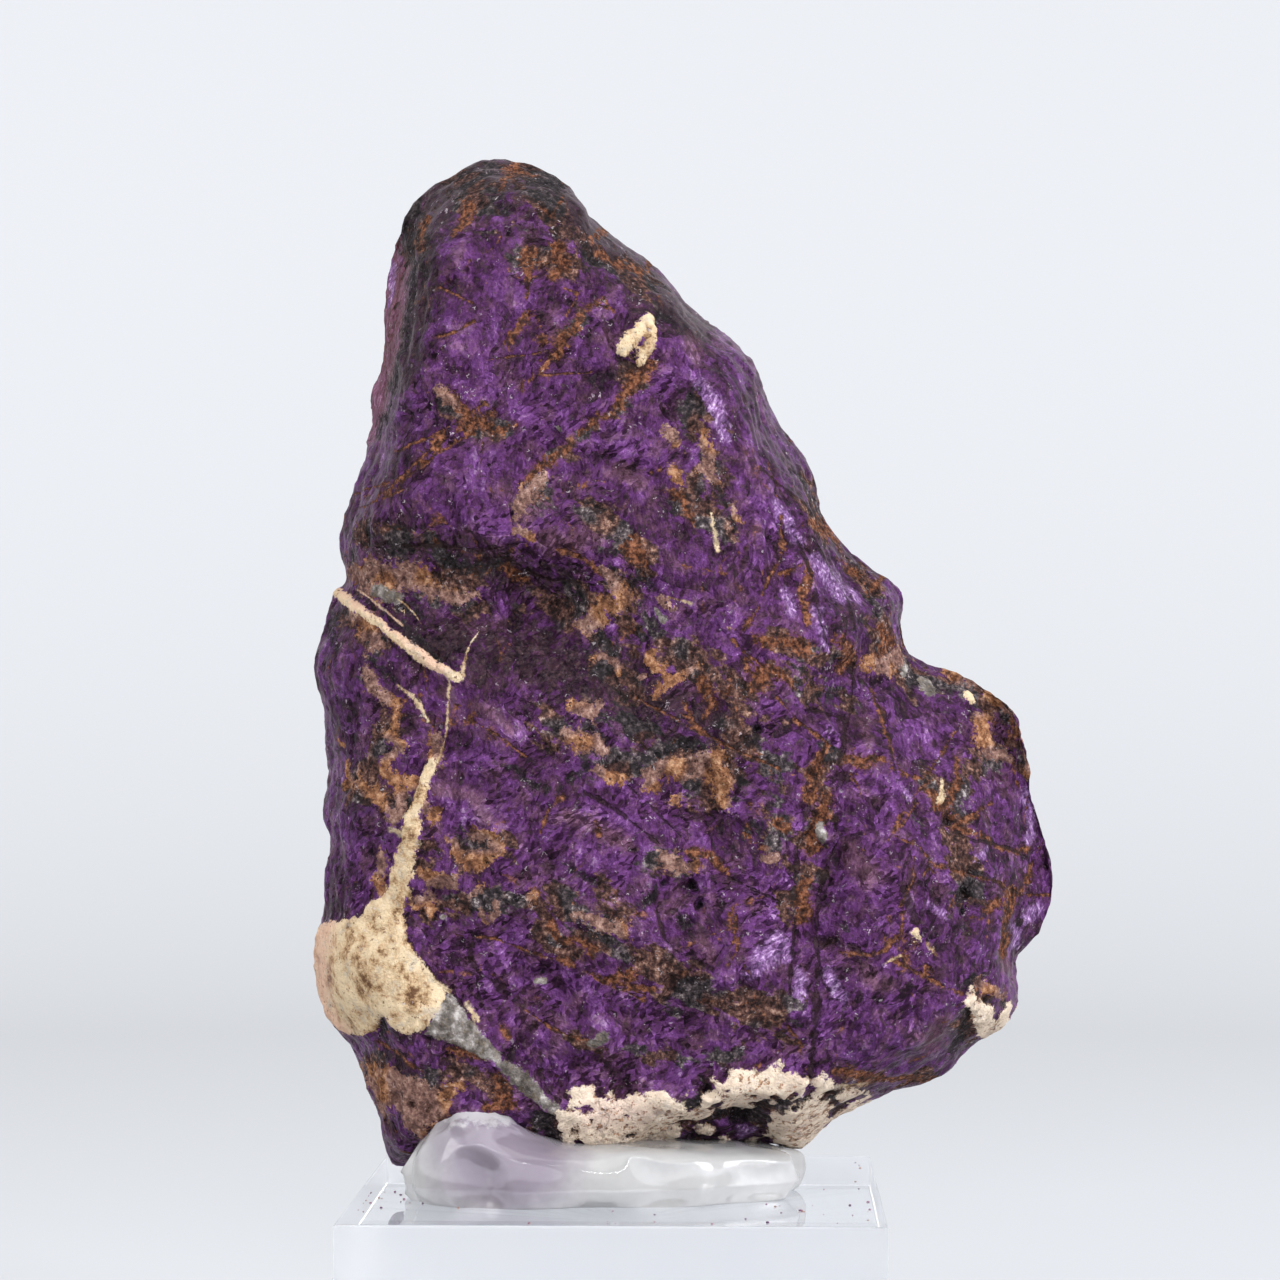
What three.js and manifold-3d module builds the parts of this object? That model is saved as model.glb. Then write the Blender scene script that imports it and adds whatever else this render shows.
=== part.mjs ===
// A rough purpurite specimen, stood upright by a bead of clear adhesive on a square acrylic block.
// Millimetres, +Z up. The specimen's show face looks towards -Y, and the origin is the centre of the
// block's underside. Heights of the specimen are given above the block's top face.
import * as THREE from "three";
import { ImprovedNoise } from "three/addons/math/ImprovedNoise.js";
import { RoundedBoxGeometry } from "three/addons/geometries/RoundedBoxGeometry.js";
import { mergeVertices } from "three/addons/utils/BufferGeometryUtils.js";
import Module from "manifold-3d";

// Acrylic block
const blockSide = 30;
const blockHeight = 15;
const blockEdgeRadius = 0.4;
const blockEdgeSteps = 2;

// Specimen: its outline as seen from the front, [across, height above the block], clockwise from the top
const stoneOutline = [
  [-7.0, 59.8], [-5.6, 59.6], [-3.7, 58.7], [-2.8, 57.9], [-2.4, 57.0], [0.0, 54.9], [1.9, 53.6],
  [3.4, 52.3], [4.0, 51.3], [4.6, 51.1], [5.1, 50.2], [5.7, 50.0], [7.3, 48.4], [8.1, 47.2],
  [8.7, 45.4], [10.3, 43.0], [11.2, 41.3], [11.5, 39.8], [12.2, 38.5], [14.5, 35.9], [16.1, 35.0],
  [16.5, 34.0], [16.3, 32.8], [16.9, 31.3], [17.4, 30.5], [18.7, 30.3], [20.2, 29.6], [22.1, 28.2],
  [23.2, 27.1], [23.2, 26.1], [23.6, 25.0], [23.8, 22.7], [24.6, 20.4], [25.1, 17.9], [24.9, 16.4],
  [24.0, 14.4], [23.1, 13.6], [23.2, 12.1], [22.7, 10.1], [20.7, 8.7], [19.8, 7.6], [18.7, 6.6],
  [15.5, 5.6], [12.9, 4.3], [11.5, 3.2], [10.3, 2.2], [7.7, 2.6], [6.0, 2.1], [2.8, 2.2],
  [0.2, 1.5], [-2.7, 1.7], [-7.0, 2.0], [-10.6, 2.2], [-12.8, 1.0], [-13.6, 2.1], [-13.9, 3.9],
  [-14.8, 5.9], [-15.4, 7.9], [-16.4, 9.1], [-17.4, 11.1], [-17.8, 13.4], [-17.6, 14.9],
  [-17.2, 16.3], [-17.1, 18.9], [-16.7, 20.3], [-17.4, 21.7], [-17.1, 23.2], [-17.2, 26.1],
  [-17.3, 28.7], [-17.8, 30.2], [-17.4, 31.9], [-16.9, 34.1], [-16.0, 35.5], [-16.5, 37.1],
  [-16.1, 39.3], [-15.1, 41.9], [-14.2, 44.7], [-14.3, 45.7], [-13.8, 47.3], [-13.4, 48.4],
  [-13.6, 50.6], [-13.4, 53.1], [-12.9, 55.5], [-11.7, 57.6], [-9.9, 58.7], [-8.2, 59.6],
];
const stoneHeart = { across: 2.0, height: 20.0 }; // every point of the outline is in sight from here
const stoneForward = 1.0; // its outline stands this far in front of the middle of the block
const viewpoint = { across: 7.45, away: 216.3, height: 29.46 }; // the outline holds as seen from here
const stoneFineness = 18; // splits along each edge of the starting icosahedron
const sideAngle = THREE.MathUtils.degToRad(70); // where the faces give way to the broken sides
const faceReach = 1.2; // higher is a narrower band of broken side around the faces
const faceRoundness = 6; // higher is a squarer turn from the faces to the sides
const sideRoundness = 4;
const faceSide = 0.97; // of the way from the rim to a face's full depth, where the face begins

// Broken planes of the show face and of the back. Each starts at a point and falls away from the
// mid-plane's depth there, by its slope for each millimetre in the direction given.
const showPlanes = [
  { name: "show face", at: [0, 30], depth: 7.6, towards: [0, 1], slope: 0.012 },
  { name: "silky upper right flank", at: [4.0, 51.3], depth: 7.6, towards: [0.939, 0.343], slope: 1.05 },
  { name: "right lobe", at: [14.0, 20.0], depth: 7.7, towards: [1, 0], slope: 0.2 },
  { name: "undercut lower right", at: [15.0, 12.0], depth: 7.9, towards: [0.5, -0.866], slope: 0.5 },
  { name: "left flank", at: [-10.5, 20.0], depth: 7.7, towards: [-1, 0], slope: 0.4 },
  { name: "upper left bevel", at: [-12.2, 48.0], depth: 7.6, towards: [-0.95, 0.31], slope: 2.2 },
  { name: "crown", at: [-7.0, 56.0], depth: 7.4, towards: [0.1, 0.995], slope: 0.85 },
  { name: "foot", at: [0, 7.0], depth: 7.5, towards: [0, -1], slope: 0.42 },
];
const backPlanes = [
  { name: "back", at: [0, 24], depth: 9.4, towards: [0, 1], slope: 0.03 },
  { name: "upper back", at: [-2, 30], depth: 9.6, towards: [0.1, 0.995], slope: 0.19 },
  { name: "back right", at: [9.0, 22.0], depth: 9.4, towards: [0.97, -0.24], slope: 0.3 },
  { name: "back left", at: [-8.0, 24.0], depth: 9.2, towards: [-0.98, 0.2], slope: 0.4 },
  { name: "cleaved back shoulder", at: [5.0, 37.0], depth: 7.8, towards: [0.8, 0.6], slope: 0.42 },
  { name: "back foot", at: [0, 12.0], depth: 9.2, towards: [0.1, -0.995], slope: 0.48 },
];
const planeBlend = 0.8; // how softly one broken plane turns into the next

// Forms on the show face: rise is towards the viewer, and a hollow's rise is negative
const showForms = [
  { name: "ledge hollow", from: [-17.5, 35.4], to: [-4.5, 33.8], reach: 2.3, rise: -1.6 },
  { name: "hollow's right end", from: [-4.5, 33.8], to: [3.0, 31.0], reach: 2.4, rise: -0.6 },
  { name: "brow over the ledge", from: [-15.0, 39.2], to: [-2.0, 37.0], reach: 2.2, rise: 0.5 },
  { name: "valley under the right shoulder", from: [18.5, 30.6], to: [12.8, 29.4], reach: 2.0, rise: -1.5 },
  { name: "right fissure", from: [13.4, 28.5], to: [10.8, 15.0], reach: 1.5, rise: -0.8 },
  { name: "swelling left of the fissure", from: [7.6, 26.0], to: [6.0, 13.0], reach: 2.8, rise: 0.45 },
  { name: "right lobe knuckle", from: [20.0, 26.0], to: [22.5, 21.0], reach: 2.0, rise: 0.9 },
  { name: "lower lobe swelling", from: [15.5, 19.0], to: [17.0, 10.0], reach: 3.0, rise: 0.8 },
  { name: "lobe waist", from: [24.0, 13.2], to: [17.5, 13.8], reach: 1.4, rise: -0.7 },
  { name: "feldspar patch", from: [-16.2, 13.2], to: [-12.6, 12.2], reach: 2.4, rise: 0.6 },
  { name: "groove above the patch's tail", from: [-10.6, 13.0], to: [-3.5, 6.2], reach: 1.0, rise: -0.7 },
  { name: "pale ledge along the foot", from: [3.0, 5.0], to: [11.0, 5.8], reach: 1.2, rise: 0.7 },
  { name: "hollow under the pale ledge", from: [4.6, 3.6], to: [8.4, 3.8], reach: 1.3, rise: -1.5 },
  { name: "pale heel", from: [9.6, 3.9], to: [10.6, 3.2], reach: 1.6, rise: 0.9 },
  { name: "upper face dish", from: [-5.0, 47.0], to: [0.5, 41.0], reach: 4.0, rise: -0.5 },
  { name: "lower left dish", from: [-6.0, 12.5], to: [2.0, 9.5], reach: 2.4, rise: -0.5 },
];

// Broken surface: lumps of [wavelength, height], and small fracture facets, each tilted its own way
const lumps = [[13, 1.0], [6.0, 0.6], [2.9, 0.3]];
const facets = { size: 6.0, scatter: 0.9, tilt: 0.3, step: 0.7, blend: 0.7 };
const lumpShift = 17.3; // sets one layer of lumps off from the next
const scatterWave = { perCell: new THREE.Vector3(127.1, 311.7, 74.7), perUse: 53.3, height: 43758.5453 };
const roughShare = { show: 0.5, rim: 0.12, back: 1 }; // the show face is smoother than the broken back
const evenings = 14; // passes that even out the spacing of the faces' points
const waistWander = { wavelength: 9, depth: 4.0 }; // the rim weaves to the front and back of a flat outline
const smoothing = 0.45; // share of the way that each point moves to the middle of those around it
const smoothFrom = 0.3; // of the way from the rim to a face's full depth, where smoothing is in full
const roughFrom = 0.7; // of the same way, where the roughness is in full

// Bead of clear adhesive, heights above the block
const bead = {
  centre: [-0.75, -2.4],
  turn: THREE.MathUtils.degToRad(9.8),
  halfLength: 12.0,
  halfDepth: 6.7,
  height: 3.3,
  squareness: 2.5, // of its footprint
  bulgeHeight: 1.0, // its sides stand out most here
  footInset: 0.4,
  footSpread: 2.2, // higher is a wider flat foot
  sideSteepness: 1.3,
  sideRoundness: 4,
  fineness: 8,
};
const beadForms = [
  { name: "lap up the show face", at: [-7.8, -6.4], reach: [3.9, 2.7], rise: 3.1 },
  { name: "low right end", at: [9.0, 0.0], reach: [4.0, 8.0], rise: -0.4 },
  { name: "back lap", at: [2.0, 3.4], reach: [4.5, 2.0], rise: 0.8 },
];
const beadGap = 0.3; // left between the adhesive and the specimen that it was pressed around

const noise = new ImprovedNoise();
const wasm = await Module();
wasm.setup();

// Follows a straight line up to 1 and stays there, with a rounded turn between.
function roundedCap(value, roundness) {
  return value / Math.pow(1 + Math.pow(Math.abs(value), roundness), 1 / roundness);
}

// The least of several depths, with rounded turns between them.
function softLeast(depths, blend) {
  const total = depths.reduce((sum, depth) => sum + Math.exp(-depth / blend), 0);
  return -blend * Math.log(total);
}

function planeDepth(plane, x, z) {
  const away = (x - plane.at[0]) * plane.towards[0] + (z - plane.at[1]) * plane.towards[1];
  return plane.depth - plane.slope * away;
}

// How far a rounded ridge or hollow along a straight line lifts the face at a point.
function formRise(form, x, z) {
  const dx = form.to[0] - form.from[0];
  const dz = form.to[1] - form.from[1];
  const along = ((x - form.from[0]) * dx + (z - form.from[1]) * dz) / (dx * dx + dz * dz);
  const share = THREE.MathUtils.clamp(along, 0, 1);
  const off = Math.hypot(x - form.from[0] - share * dx, z - form.from[1] - share * dz);
  return form.rise * Math.exp(-Math.pow(off / form.reach, 2));
}

function showDepth(x, z) {
  const planes = showPlanes.map((plane) => planeDepth(plane, x, z));
  const forms = showForms.reduce((sum, form) => sum + formRise(form, x, z), 0);
  return softLeast(planes, planeBlend) + forms;
}

function backDepth(x, z) {
  return softLeast(backPlanes.map((plane) => planeDepth(plane, x, z)), planeBlend);
}

function lumpRise({ x, y, z }) {
  return lumps.reduce((sum, [wavelength, height], layer) => {
    const shift = lumpShift * (layer + 1);
    return sum + height * noise.noise(x / wavelength + shift, y / wavelength, z / wavelength - shift);
  }, 0);
}

// A scattered number from -1 to 1 that is always the same for one cell of space and one use.
function cellNumber(cell, use) {
  const wave = Math.sin(cell.dot(scatterWave.perCell) + use * scatterWave.perUse) * scatterWave.height;
  return 2 * (wave - Math.floor(wave)) - 1;
}

// Fracture facets: the flat, tilted piece of surface around the nearest of many scattered centres.
function facetRise(point) {
  const home = point.clone().divideScalar(facets.size).floor();
  const around = [];
  for (const dx of [-1, 0, 1]) {
    for (const dy of [-1, 0, 1]) {
      for (const dz of [-1, 0, 1]) {
        const cell = new THREE.Vector3(home.x + dx, home.y + dy, home.z + dz);
        const scatter = new THREE.Vector3(cellNumber(cell, 1), cellNumber(cell, 2), cellNumber(cell, 3));
        const centre = cell.clone().addScalar(0.5).addScaledVector(scatter, facets.scatter / 2);
        const away = point.clone().sub(centre.multiplyScalar(facets.size));
        const tilt = new THREE.Vector3(cellNumber(cell, 4), cellNumber(cell, 5), cellNumber(cell, 6));
        const rise = facets.tilt * tilt.dot(away) + facets.step * cellNumber(cell, 7);
        around.push({ distance: away.length(), rise });
      }
    }
  }
  const nearest = Math.min(...around.map(({ distance }) => distance));
  const weights = around.map(({ distance }) => Math.exp((nearest - distance) / facets.blend));
  const total = weights.reduce((sum, weight) => sum + weight, 0);
  return around.reduce((sum, { rise }, i) => sum + rise * weights[i], 0) / total;
}

function weldedIcosphere(fineness) {
  const sphere = new THREE.IcosahedronGeometry(1, fineness);
  sphere.deleteAttribute("normal");
  sphere.deleteAttribute("uv");
  return mergeVertices(sphere, 1e-5);
}

// The numbers of the points that share an edge with each point.
function neighboursOf(geometry) {
  const neighbours = Array.from({ length: geometry.getAttribute("position").count }, () => new Set());
  const corners = geometry.index.array;
  for (let i = 0; i < corners.length; i += 3) {
    for (let k = 0; k < 3; k++) {
      neighbours[corners[i + k]].add(corners[i + ((k + 1) % 3)]);
      neighbours[corners[i + k]].add(corners[i + ((k + 2) % 3)]);
    }
  }
  return neighbours;
}

// Moves each point of the two faces, seen from the front, to the middle of the points around it.
function evenOut(spots, neighbours) {
  for (let pass = 0; pass < evenings; pass++) {
    spots.forEach((spot, i) => {
      if (Math.abs(spot.side) < faceSide) {
        return;
      }
      const around = [...neighbours[i]].map((n) => spots[n]);
      spot.x = around.reduce((sum, other) => sum + other.x, 0) / around.length;
      spot.z = around.reduce((sum, other) => sum + other.z, 0) / around.length;
    });
  }
}

// Takes the sharpest teeth off the surface, and leaves the rim as it is.
function soften(points, spots, neighbours) {
  const before = spots.map((_, i) => new THREE.Vector3().fromBufferAttribute(points, i));
  before.forEach((point, i) => {
    const middle = new THREE.Vector3();
    neighbours[i].forEach((n) => middle.addScaledVector(before[n], 1 / neighbours[i].size));
    const share = smoothing * THREE.MathUtils.smoothstep(Math.abs(spots[i].side), 0, smoothFrom);
    middle.lerpVectors(point, middle, share);
    points.setXYZ(i, middle.x, middle.y, middle.z);
  });
}

// What stands nearer to the viewer is narrowed, so that it doesn't show outside the outline.
function narrowTowardsViewer(points) {
  for (let i = 0; i < points.count; i++) {
    const share = (viewpoint.away + Math.min(0, points.getY(i))) / viewpoint.away;
    const x = THREE.MathUtils.lerp(viewpoint.across, points.getX(i), share);
    const z = THREE.MathUtils.lerp(viewpoint.height, points.getZ(i), share);
    points.setXYZ(i, x, points.getY(i), z);
  }
}

// Each direction of a ball becomes a point of the specimen: the way round gives a point of the outline,
// and the way from front to back gives how far out from the heart and how deep it lies.
function stoneGeometry() {
  const outline = new THREE.CatmullRomCurve3(
    stoneOutline.map(([x, z]) => new THREE.Vector3(x, 0, z)),
    true,
    "centripetal",
  );
  outline.arcLengthDivisions = 2000;
  const geometry = weldedIcosphere(stoneFineness);
  const points = geometry.getAttribute("position");
  const point = new THREE.Vector3();
  const widest = roundedCap(Math.SQRT2 / faceReach, faceRoundness);
  const spots = [];
  for (let i = 0; i < points.count; i++) {
    point.fromBufferAttribute(points, i);
    const fromFront = Math.acos(THREE.MathUtils.clamp(-point.y, -1, 1));
    const fromNearFace = Math.min(fromFront, Math.PI - fromFront);
    const spread = roundedCap((2 * Math.sin(fromNearFace / 2)) / faceReach, faceRoundness) / widest;
    const side = roundedCap((Math.PI / 2 - fromFront) / (Math.PI / 2 - sideAngle), sideRoundness);
    const turn = Math.atan2(point.x, point.z) / (2 * Math.PI);
    const rim = outline.getPointAt(turn < 0 ? turn + 1 : turn);
    const x = THREE.MathUtils.lerp(stoneHeart.across, rim.x, spread);
    const z = THREE.MathUtils.lerp(stoneHeart.height, rim.z, spread);
    spots.push({ x, z, side });
  }
  const neighbours = neighboursOf(geometry);
  evenOut(spots, neighbours);
  spots.forEach(({ x, z, side }, i) => {
    const depth = side > 0 ? showDepth(x, z) : backDepth(x, z);
    const { wavelength, depth: wander } = waistWander;
    const waist = wander * noise.noise(x / wavelength, lumpShift, z / wavelength);
    points.setXYZ(i, x, (1 - Math.abs(side)) * waist - side * depth, z);
  });
  geometry.computeVertexNormals();
  const normals = geometry.getAttribute("normal");
  const normal = new THREE.Vector3();
  spots.forEach(({ side }, i) => {
    point.fromBufferAttribute(points, i);
    normal.fromBufferAttribute(normals, i);
    const faceShare = side > 0 ? roughShare.show : roughShare.back;
    const fromRim = THREE.MathUtils.smoothstep(Math.abs(side), 0, roughFrom);
    const share = THREE.MathUtils.lerp(roughShare.rim, faceShare, fromRim);
    point.addScaledVector(normal, (lumpRise(point) + facetRise(point)) * share);
    points.setXYZ(i, point.x, point.y, point.z);
  });
  soften(points, spots, neighbours);
  geometry.translate(0, -stoneForward, 0);
  narrowTowardsViewer(points);
  geometry.translate(0, 0, blockHeight);
  return geometry;
}

// How far a footprint with squared-off corners reaches in a direction, for a reach of 1 along its axes.
function squareReach(across, along, squareness) {
  const size = Math.hypot(across, along);
  if (size === 0) {
    return 0;
  }
  const squared = Math.pow(Math.abs(across), squareness) + Math.pow(Math.abs(along), squareness);
  return size / Math.pow(squared, 1 / squareness);
}

// The upper half of a ball becomes the bead's crown, and the lower half its sides and its flat foot.
function beadGeometry() {
  const geometry = weldedIcosphere(bead.fineness);
  const points = geometry.getAttribute("position");
  const point = new THREE.Vector3();
  const rounded = (value) =>
    roundedCap(bead.sideSteepness * value, bead.sideRoundness) /
    roundedCap(bead.sideSteepness, bead.sideRoundness);
  for (let i = 0; i < points.count; i++) {
    point.fromBufferAttribute(points, i);
    const around = Math.hypot(point.x, point.y);
    const underside = Math.min(1, Math.max(0, -bead.footSpread * point.z));
    const square = squareReach(point.x, point.y, bead.squareness);
    const reach = around === 0 ? 0 : (rounded(around) / around) * square;
    const along = point.x * reach * (bead.halfLength - bead.footInset * underside);
    const deep = point.y * reach * (bead.halfDepth - bead.footInset * underside);
    const x = bead.centre[0] + along * Math.cos(bead.turn) - deep * Math.sin(bead.turn);
    const y = bead.centre[1] + along * Math.sin(bead.turn) + deep * Math.cos(bead.turn);
    const forms = beadForms.reduce((sum, form) => {
      const off = Math.hypot((x - form.at[0]) / form.reach[0], (y - form.at[1]) / form.reach[1]);
      return sum + form.rise * Math.exp(-off * off);
    }, 0);
    const crown = (bead.height - bead.bulgeHeight + forms) * rounded(Math.max(0, point.z));
    points.setXYZ(i, x, y, point.z < 0 ? bead.bulgeHeight * (1 - underside) : bead.bulgeHeight + crown);
  }
  geometry.translate(0, 0, blockHeight);
  return geometry;
}

function solidOf(geometry) {
  return new wasm.Manifold(
    new wasm.Mesh({
      numProp: 3,
      vertProperties: new Float32Array(geometry.getAttribute("position").array),
      triVerts: new Uint32Array(geometry.index.array),
    }),
  );
}

function geometryOf(solid) {
  const mesh = solid.getMesh();
  const geometry = new THREE.BufferGeometry();
  geometry.setAttribute("position", new THREE.BufferAttribute(mesh.vertProperties, 3));
  geometry.setIndex(new THREE.BufferAttribute(mesh.triVerts, 1));
  geometry.computeVertexNormals();
  return geometry;
}

// A copy of a geometry with every point moved out along its normal.
function swollen(geometry, distance) {
  const copy = geometry.clone();
  copy.computeVertexNormals();
  const points = copy.getAttribute("position");
  const normals = copy.getAttribute("normal");
  for (let i = 0; i < points.count; i++) {
    points.setXYZ(
      i,
      points.getX(i) + distance * normals.getX(i),
      points.getY(i) + distance * normals.getY(i),
      points.getZ(i) + distance * normals.getZ(i),
    );
  }
  return copy;
}

function largestPiece(solid) {
  return solid.decompose().reduce((a, b) => (b.volume() > a.volume() ? b : a));
}

function namedMesh(name, geometry, look) {
  const mesh = new THREE.Mesh(geometry, new THREE.MeshStandardMaterial(look));
  mesh.name = name;
  return mesh;
}

const specimen = new THREE.Group();

const block = namedMesh(
  "acrylic_block",
  new RoundedBoxGeometry(blockSide, blockSide, blockHeight, blockEdgeSteps, blockEdgeRadius),
  { color: 0xeef2f6, roughness: 0.05, metalness: 0, transparent: true, opacity: 0.35 },
);
block.position.z = blockHeight / 2;
specimen.add(block);

const stoneShape = stoneGeometry();
const stone = namedMesh("purpurite_stone", stoneShape, { color: 0x56357a, roughness: 0.55, metalness: 0.2 });
specimen.add(stone);

const adhesiveSolid = largestPiece(
  solidOf(beadGeometry()).subtract(solidOf(swollen(stoneShape, beadGap))),
);
specimen.add(
  namedMesh("clear_adhesive", geometryOf(adhesiveSolid), {
    color: 0xe4e4e8,
    roughness: 0.15,
    metalness: 0,
    transparent: true,
    opacity: 0.5,
  }),
);

export default specimen;
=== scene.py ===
import math
import random

import bmesh
import bpy
import numpy as np
from mathutils import Matrix, Vector, noise


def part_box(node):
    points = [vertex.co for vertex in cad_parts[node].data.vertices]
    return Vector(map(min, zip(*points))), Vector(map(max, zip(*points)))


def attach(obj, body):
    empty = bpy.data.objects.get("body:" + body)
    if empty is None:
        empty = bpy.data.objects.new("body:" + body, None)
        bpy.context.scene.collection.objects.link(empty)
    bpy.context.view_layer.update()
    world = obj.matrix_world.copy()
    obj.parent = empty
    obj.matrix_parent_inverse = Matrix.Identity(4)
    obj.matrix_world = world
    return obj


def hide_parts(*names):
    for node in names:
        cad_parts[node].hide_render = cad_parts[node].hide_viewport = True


# A purpurite specimen in clear adhesive on an acrylic block. The CAD nodes set where everything stands.
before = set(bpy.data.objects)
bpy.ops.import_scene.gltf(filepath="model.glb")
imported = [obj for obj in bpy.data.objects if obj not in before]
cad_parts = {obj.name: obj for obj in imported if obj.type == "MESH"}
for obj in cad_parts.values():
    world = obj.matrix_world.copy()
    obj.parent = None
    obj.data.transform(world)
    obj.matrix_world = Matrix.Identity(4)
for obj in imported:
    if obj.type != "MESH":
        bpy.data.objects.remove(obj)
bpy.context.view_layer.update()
scene = bpy.context.scene
mm = 0.001  # the values below are millimetres
blockLow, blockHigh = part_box("acrylic_block")
blockTop = blockHigh.z / mm

# The camera that took the photo: level, in front of the show face, a little above the block's top
cameraSetup = {
    "across": 7.45,
    "away": 216.3,  # in front of the block's middle
    "aboveBlock": 29.46,
    "lens": 104.9,
    "filmWidth": 36.0,
    "turnLeft": math.radians(1.66),
    "tiltUp": math.radians(0.61),
}
photoFrame = {"pixels": 1280, "levelAcross": 748, "levelDown": 680}  # where a level line of sight falls


def smoothStep(low, high, value):
    share = np.clip((value - low) / (high - low), 0.0, 1.0)
    return share * share * (3.0 - 2.0 * share)


def addObject(name, data):
    made = bpy.data.objects.new(name, data)
    scene.collection.objects.link(made)
    return made


def meshFromBmesh(name, bm):
    mesh = bpy.data.meshes.new(name)
    bm.to_mesh(mesh)
    bm.free()
    return mesh


def setSmooth(mesh):
    mesh.polygons.foreach_set("use_smooth", [True] * len(mesh.polygons))


# Shader building blocks
def put(tree, kind, inputs=None, **settings):
    node = tree.nodes.new(kind)
    for key, value in settings.items():
        setattr(node, key, value)
    for key, value in (inputs or {}).items():
        if isinstance(value, bpy.types.NodeSocket):
            tree.links.new(value, node.inputs[key])
        else:
            node.inputs[key].default_value = value
    return node


def sums(tree, operation, first, second=0.0, third=0.0):
    return put(tree, "ShaderNodeMath", {0: first, 1: second, 2: third}, operation=operation).outputs[0]


def times(tree, first, second):
    return sums(tree, "MULTIPLY", first, second)


def most(tree, first, *others):
    # The greatest of several values
    for other in others:
        first = sums(tree, "MAXIMUM", first, other)
    return first


def weighed(tree, total, *parts):
    # A value to which others are added, each by its own share
    for value, share in parts:
        total = sums(tree, "MULTIPLY_ADD", value, share, total)
    return total


def vectors(tree, operation, first, second=(0.0, 0.0, 0.0), third=(0.0, 0.0, 0.0), output=0):
    inputs = {0: first, 1: second, 2: third}
    return put(tree, "ShaderNodeVectorMath", inputs, operation=operation).outputs[output]


def channels(tree, colour):
    return put(tree, "ShaderNodeSeparateColor", {0: colour}).outputs


def marksAt(tree, name):
    # The four marks that one of the stone's attributes carries
    marks = put(tree, "ShaderNodeAttribute", attribute_name=name)
    red, green, blue = channels(tree, marks.outputs["Color"])
    return red, green, blue, marks.outputs["Alpha"]


def soften(tree, value, low, high):
    inputs = {"Value": value, "From Min": low, "From Max": high}
    return put(tree, "ShaderNodeMapRange", inputs, interpolation_type="SMOOTHSTEP").outputs[0]


def blend(tree, share, first, second, mode="MIX"):
    inputs = {0: share, 6: first, 7: second}
    return put(tree, "ShaderNodeMix", inputs, data_type="RGBA", blend_type=mode).outputs[2]


def noiseAt(tree, vector, scale, detail=3.0, roughness=0.55, output="Fac"):
    inputs = {"Vector": vector, "Scale": scale, "Detail": detail, "Roughness": roughness}
    return put(tree, "ShaderNodeTexNoise", inputs).outputs[output]


def cellsAt(tree, vector, scale, output="Distance"):
    return put(tree, "ShaderNodeTexVoronoi", {"Vector": vector, "Scale": scale}).outputs[output]


def srgb(red, green, blue):
    def linear(value):
        value /= 255.0
        return value / 12.92 if value <= 0.04045 else ((value + 0.055) / 1.055) ** 2.4

    return (linear(red), linear(green), linear(blue), 1.0)


def colourRamp(tree, value, stops):
    node = put(tree, "ShaderNodeValToRGB", {"Fac": value})
    elements = node.color_ramp.elements
    while len(elements) < len(stops):
        elements.new(0.5)
    for element, (position, colour) in zip(elements, stops):
        element.position = position
        element.color = colour
    return node.outputs["Color"]


def newMaterial(name):
    material = bpy.data.materials.new(name)
    material.use_nodes = True
    tree = material.node_tree
    tree.nodes.clear()
    surface = put(tree, "ShaderNodeBsdfPrincipled")
    put(tree, "ShaderNodeOutputMaterial", {"Surface": surface.outputs[0]})
    return material, tree, surface


def millimetres(tree):
    place = put(tree, "ShaderNodeTexCoord").outputs["Object"]
    return put(tree, "ShaderNodeVectorMath", {0: place, "Scale": 1000.0}, operation="SCALE").outputs[0]


# Clouds and grain, shared by the stone, its crumbs, the gel and the acrylic
def makeMottle():
    group = bpy.data.node_groups.new("mottle", "ShaderNodeTree")
    kinds = {"Place": "NodeSocketVector", "Cloud Scale": "NodeSocketFloat", "Grain Scale": "NodeSocketFloat"}
    for name, kind in kinds.items():
        group.interface.new_socket(name, in_out="INPUT", socket_type=kind)
    for name in ("Cloud", "Grain"):
        group.interface.new_socket(name, in_out="OUTPUT", socket_type="NodeSocketFloat")
    given = group.nodes.new("NodeGroupInput").outputs
    cloud = noiseAt(group, given["Place"], given["Cloud Scale"], 3.0, 0.6)
    grain = noiseAt(group, given["Place"], given["Grain Scale"], 2.0, 0.6)
    put(group, "NodeGroupOutput", {"Cloud": cloud, "Grain": grain})
    return group


mottleShared = makeMottle()


def mottleAt(tree, place, cloudScale, grainScale=7.0):
    inputs = {"Place": place, "Cloud Scale": cloudScale, "Grain Scale": grainScale}
    cloud, grain = put(tree, "ShaderNodeGroup", inputs, node_tree=mottleShared).outputs
    return cloud, grain


# Camera, light and floor
def makeCamera(setup):
    data = bpy.data.cameras.new("photo_camera")
    data.lens = setup["lens"]
    data.sensor_width = setup["filmWidth"]
    data.clip_start = 0.01
    camera = addObject("photo_camera", data)
    camera.location = (setup["across"] * mm, -setup["away"] * mm, (blockTop + setup["aboveBlock"]) * mm)
    camera.rotation_euler = (math.pi / 2 + setup["tiltUp"], 0.0, setup["turnLeft"])
    scene.camera = camera


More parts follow.
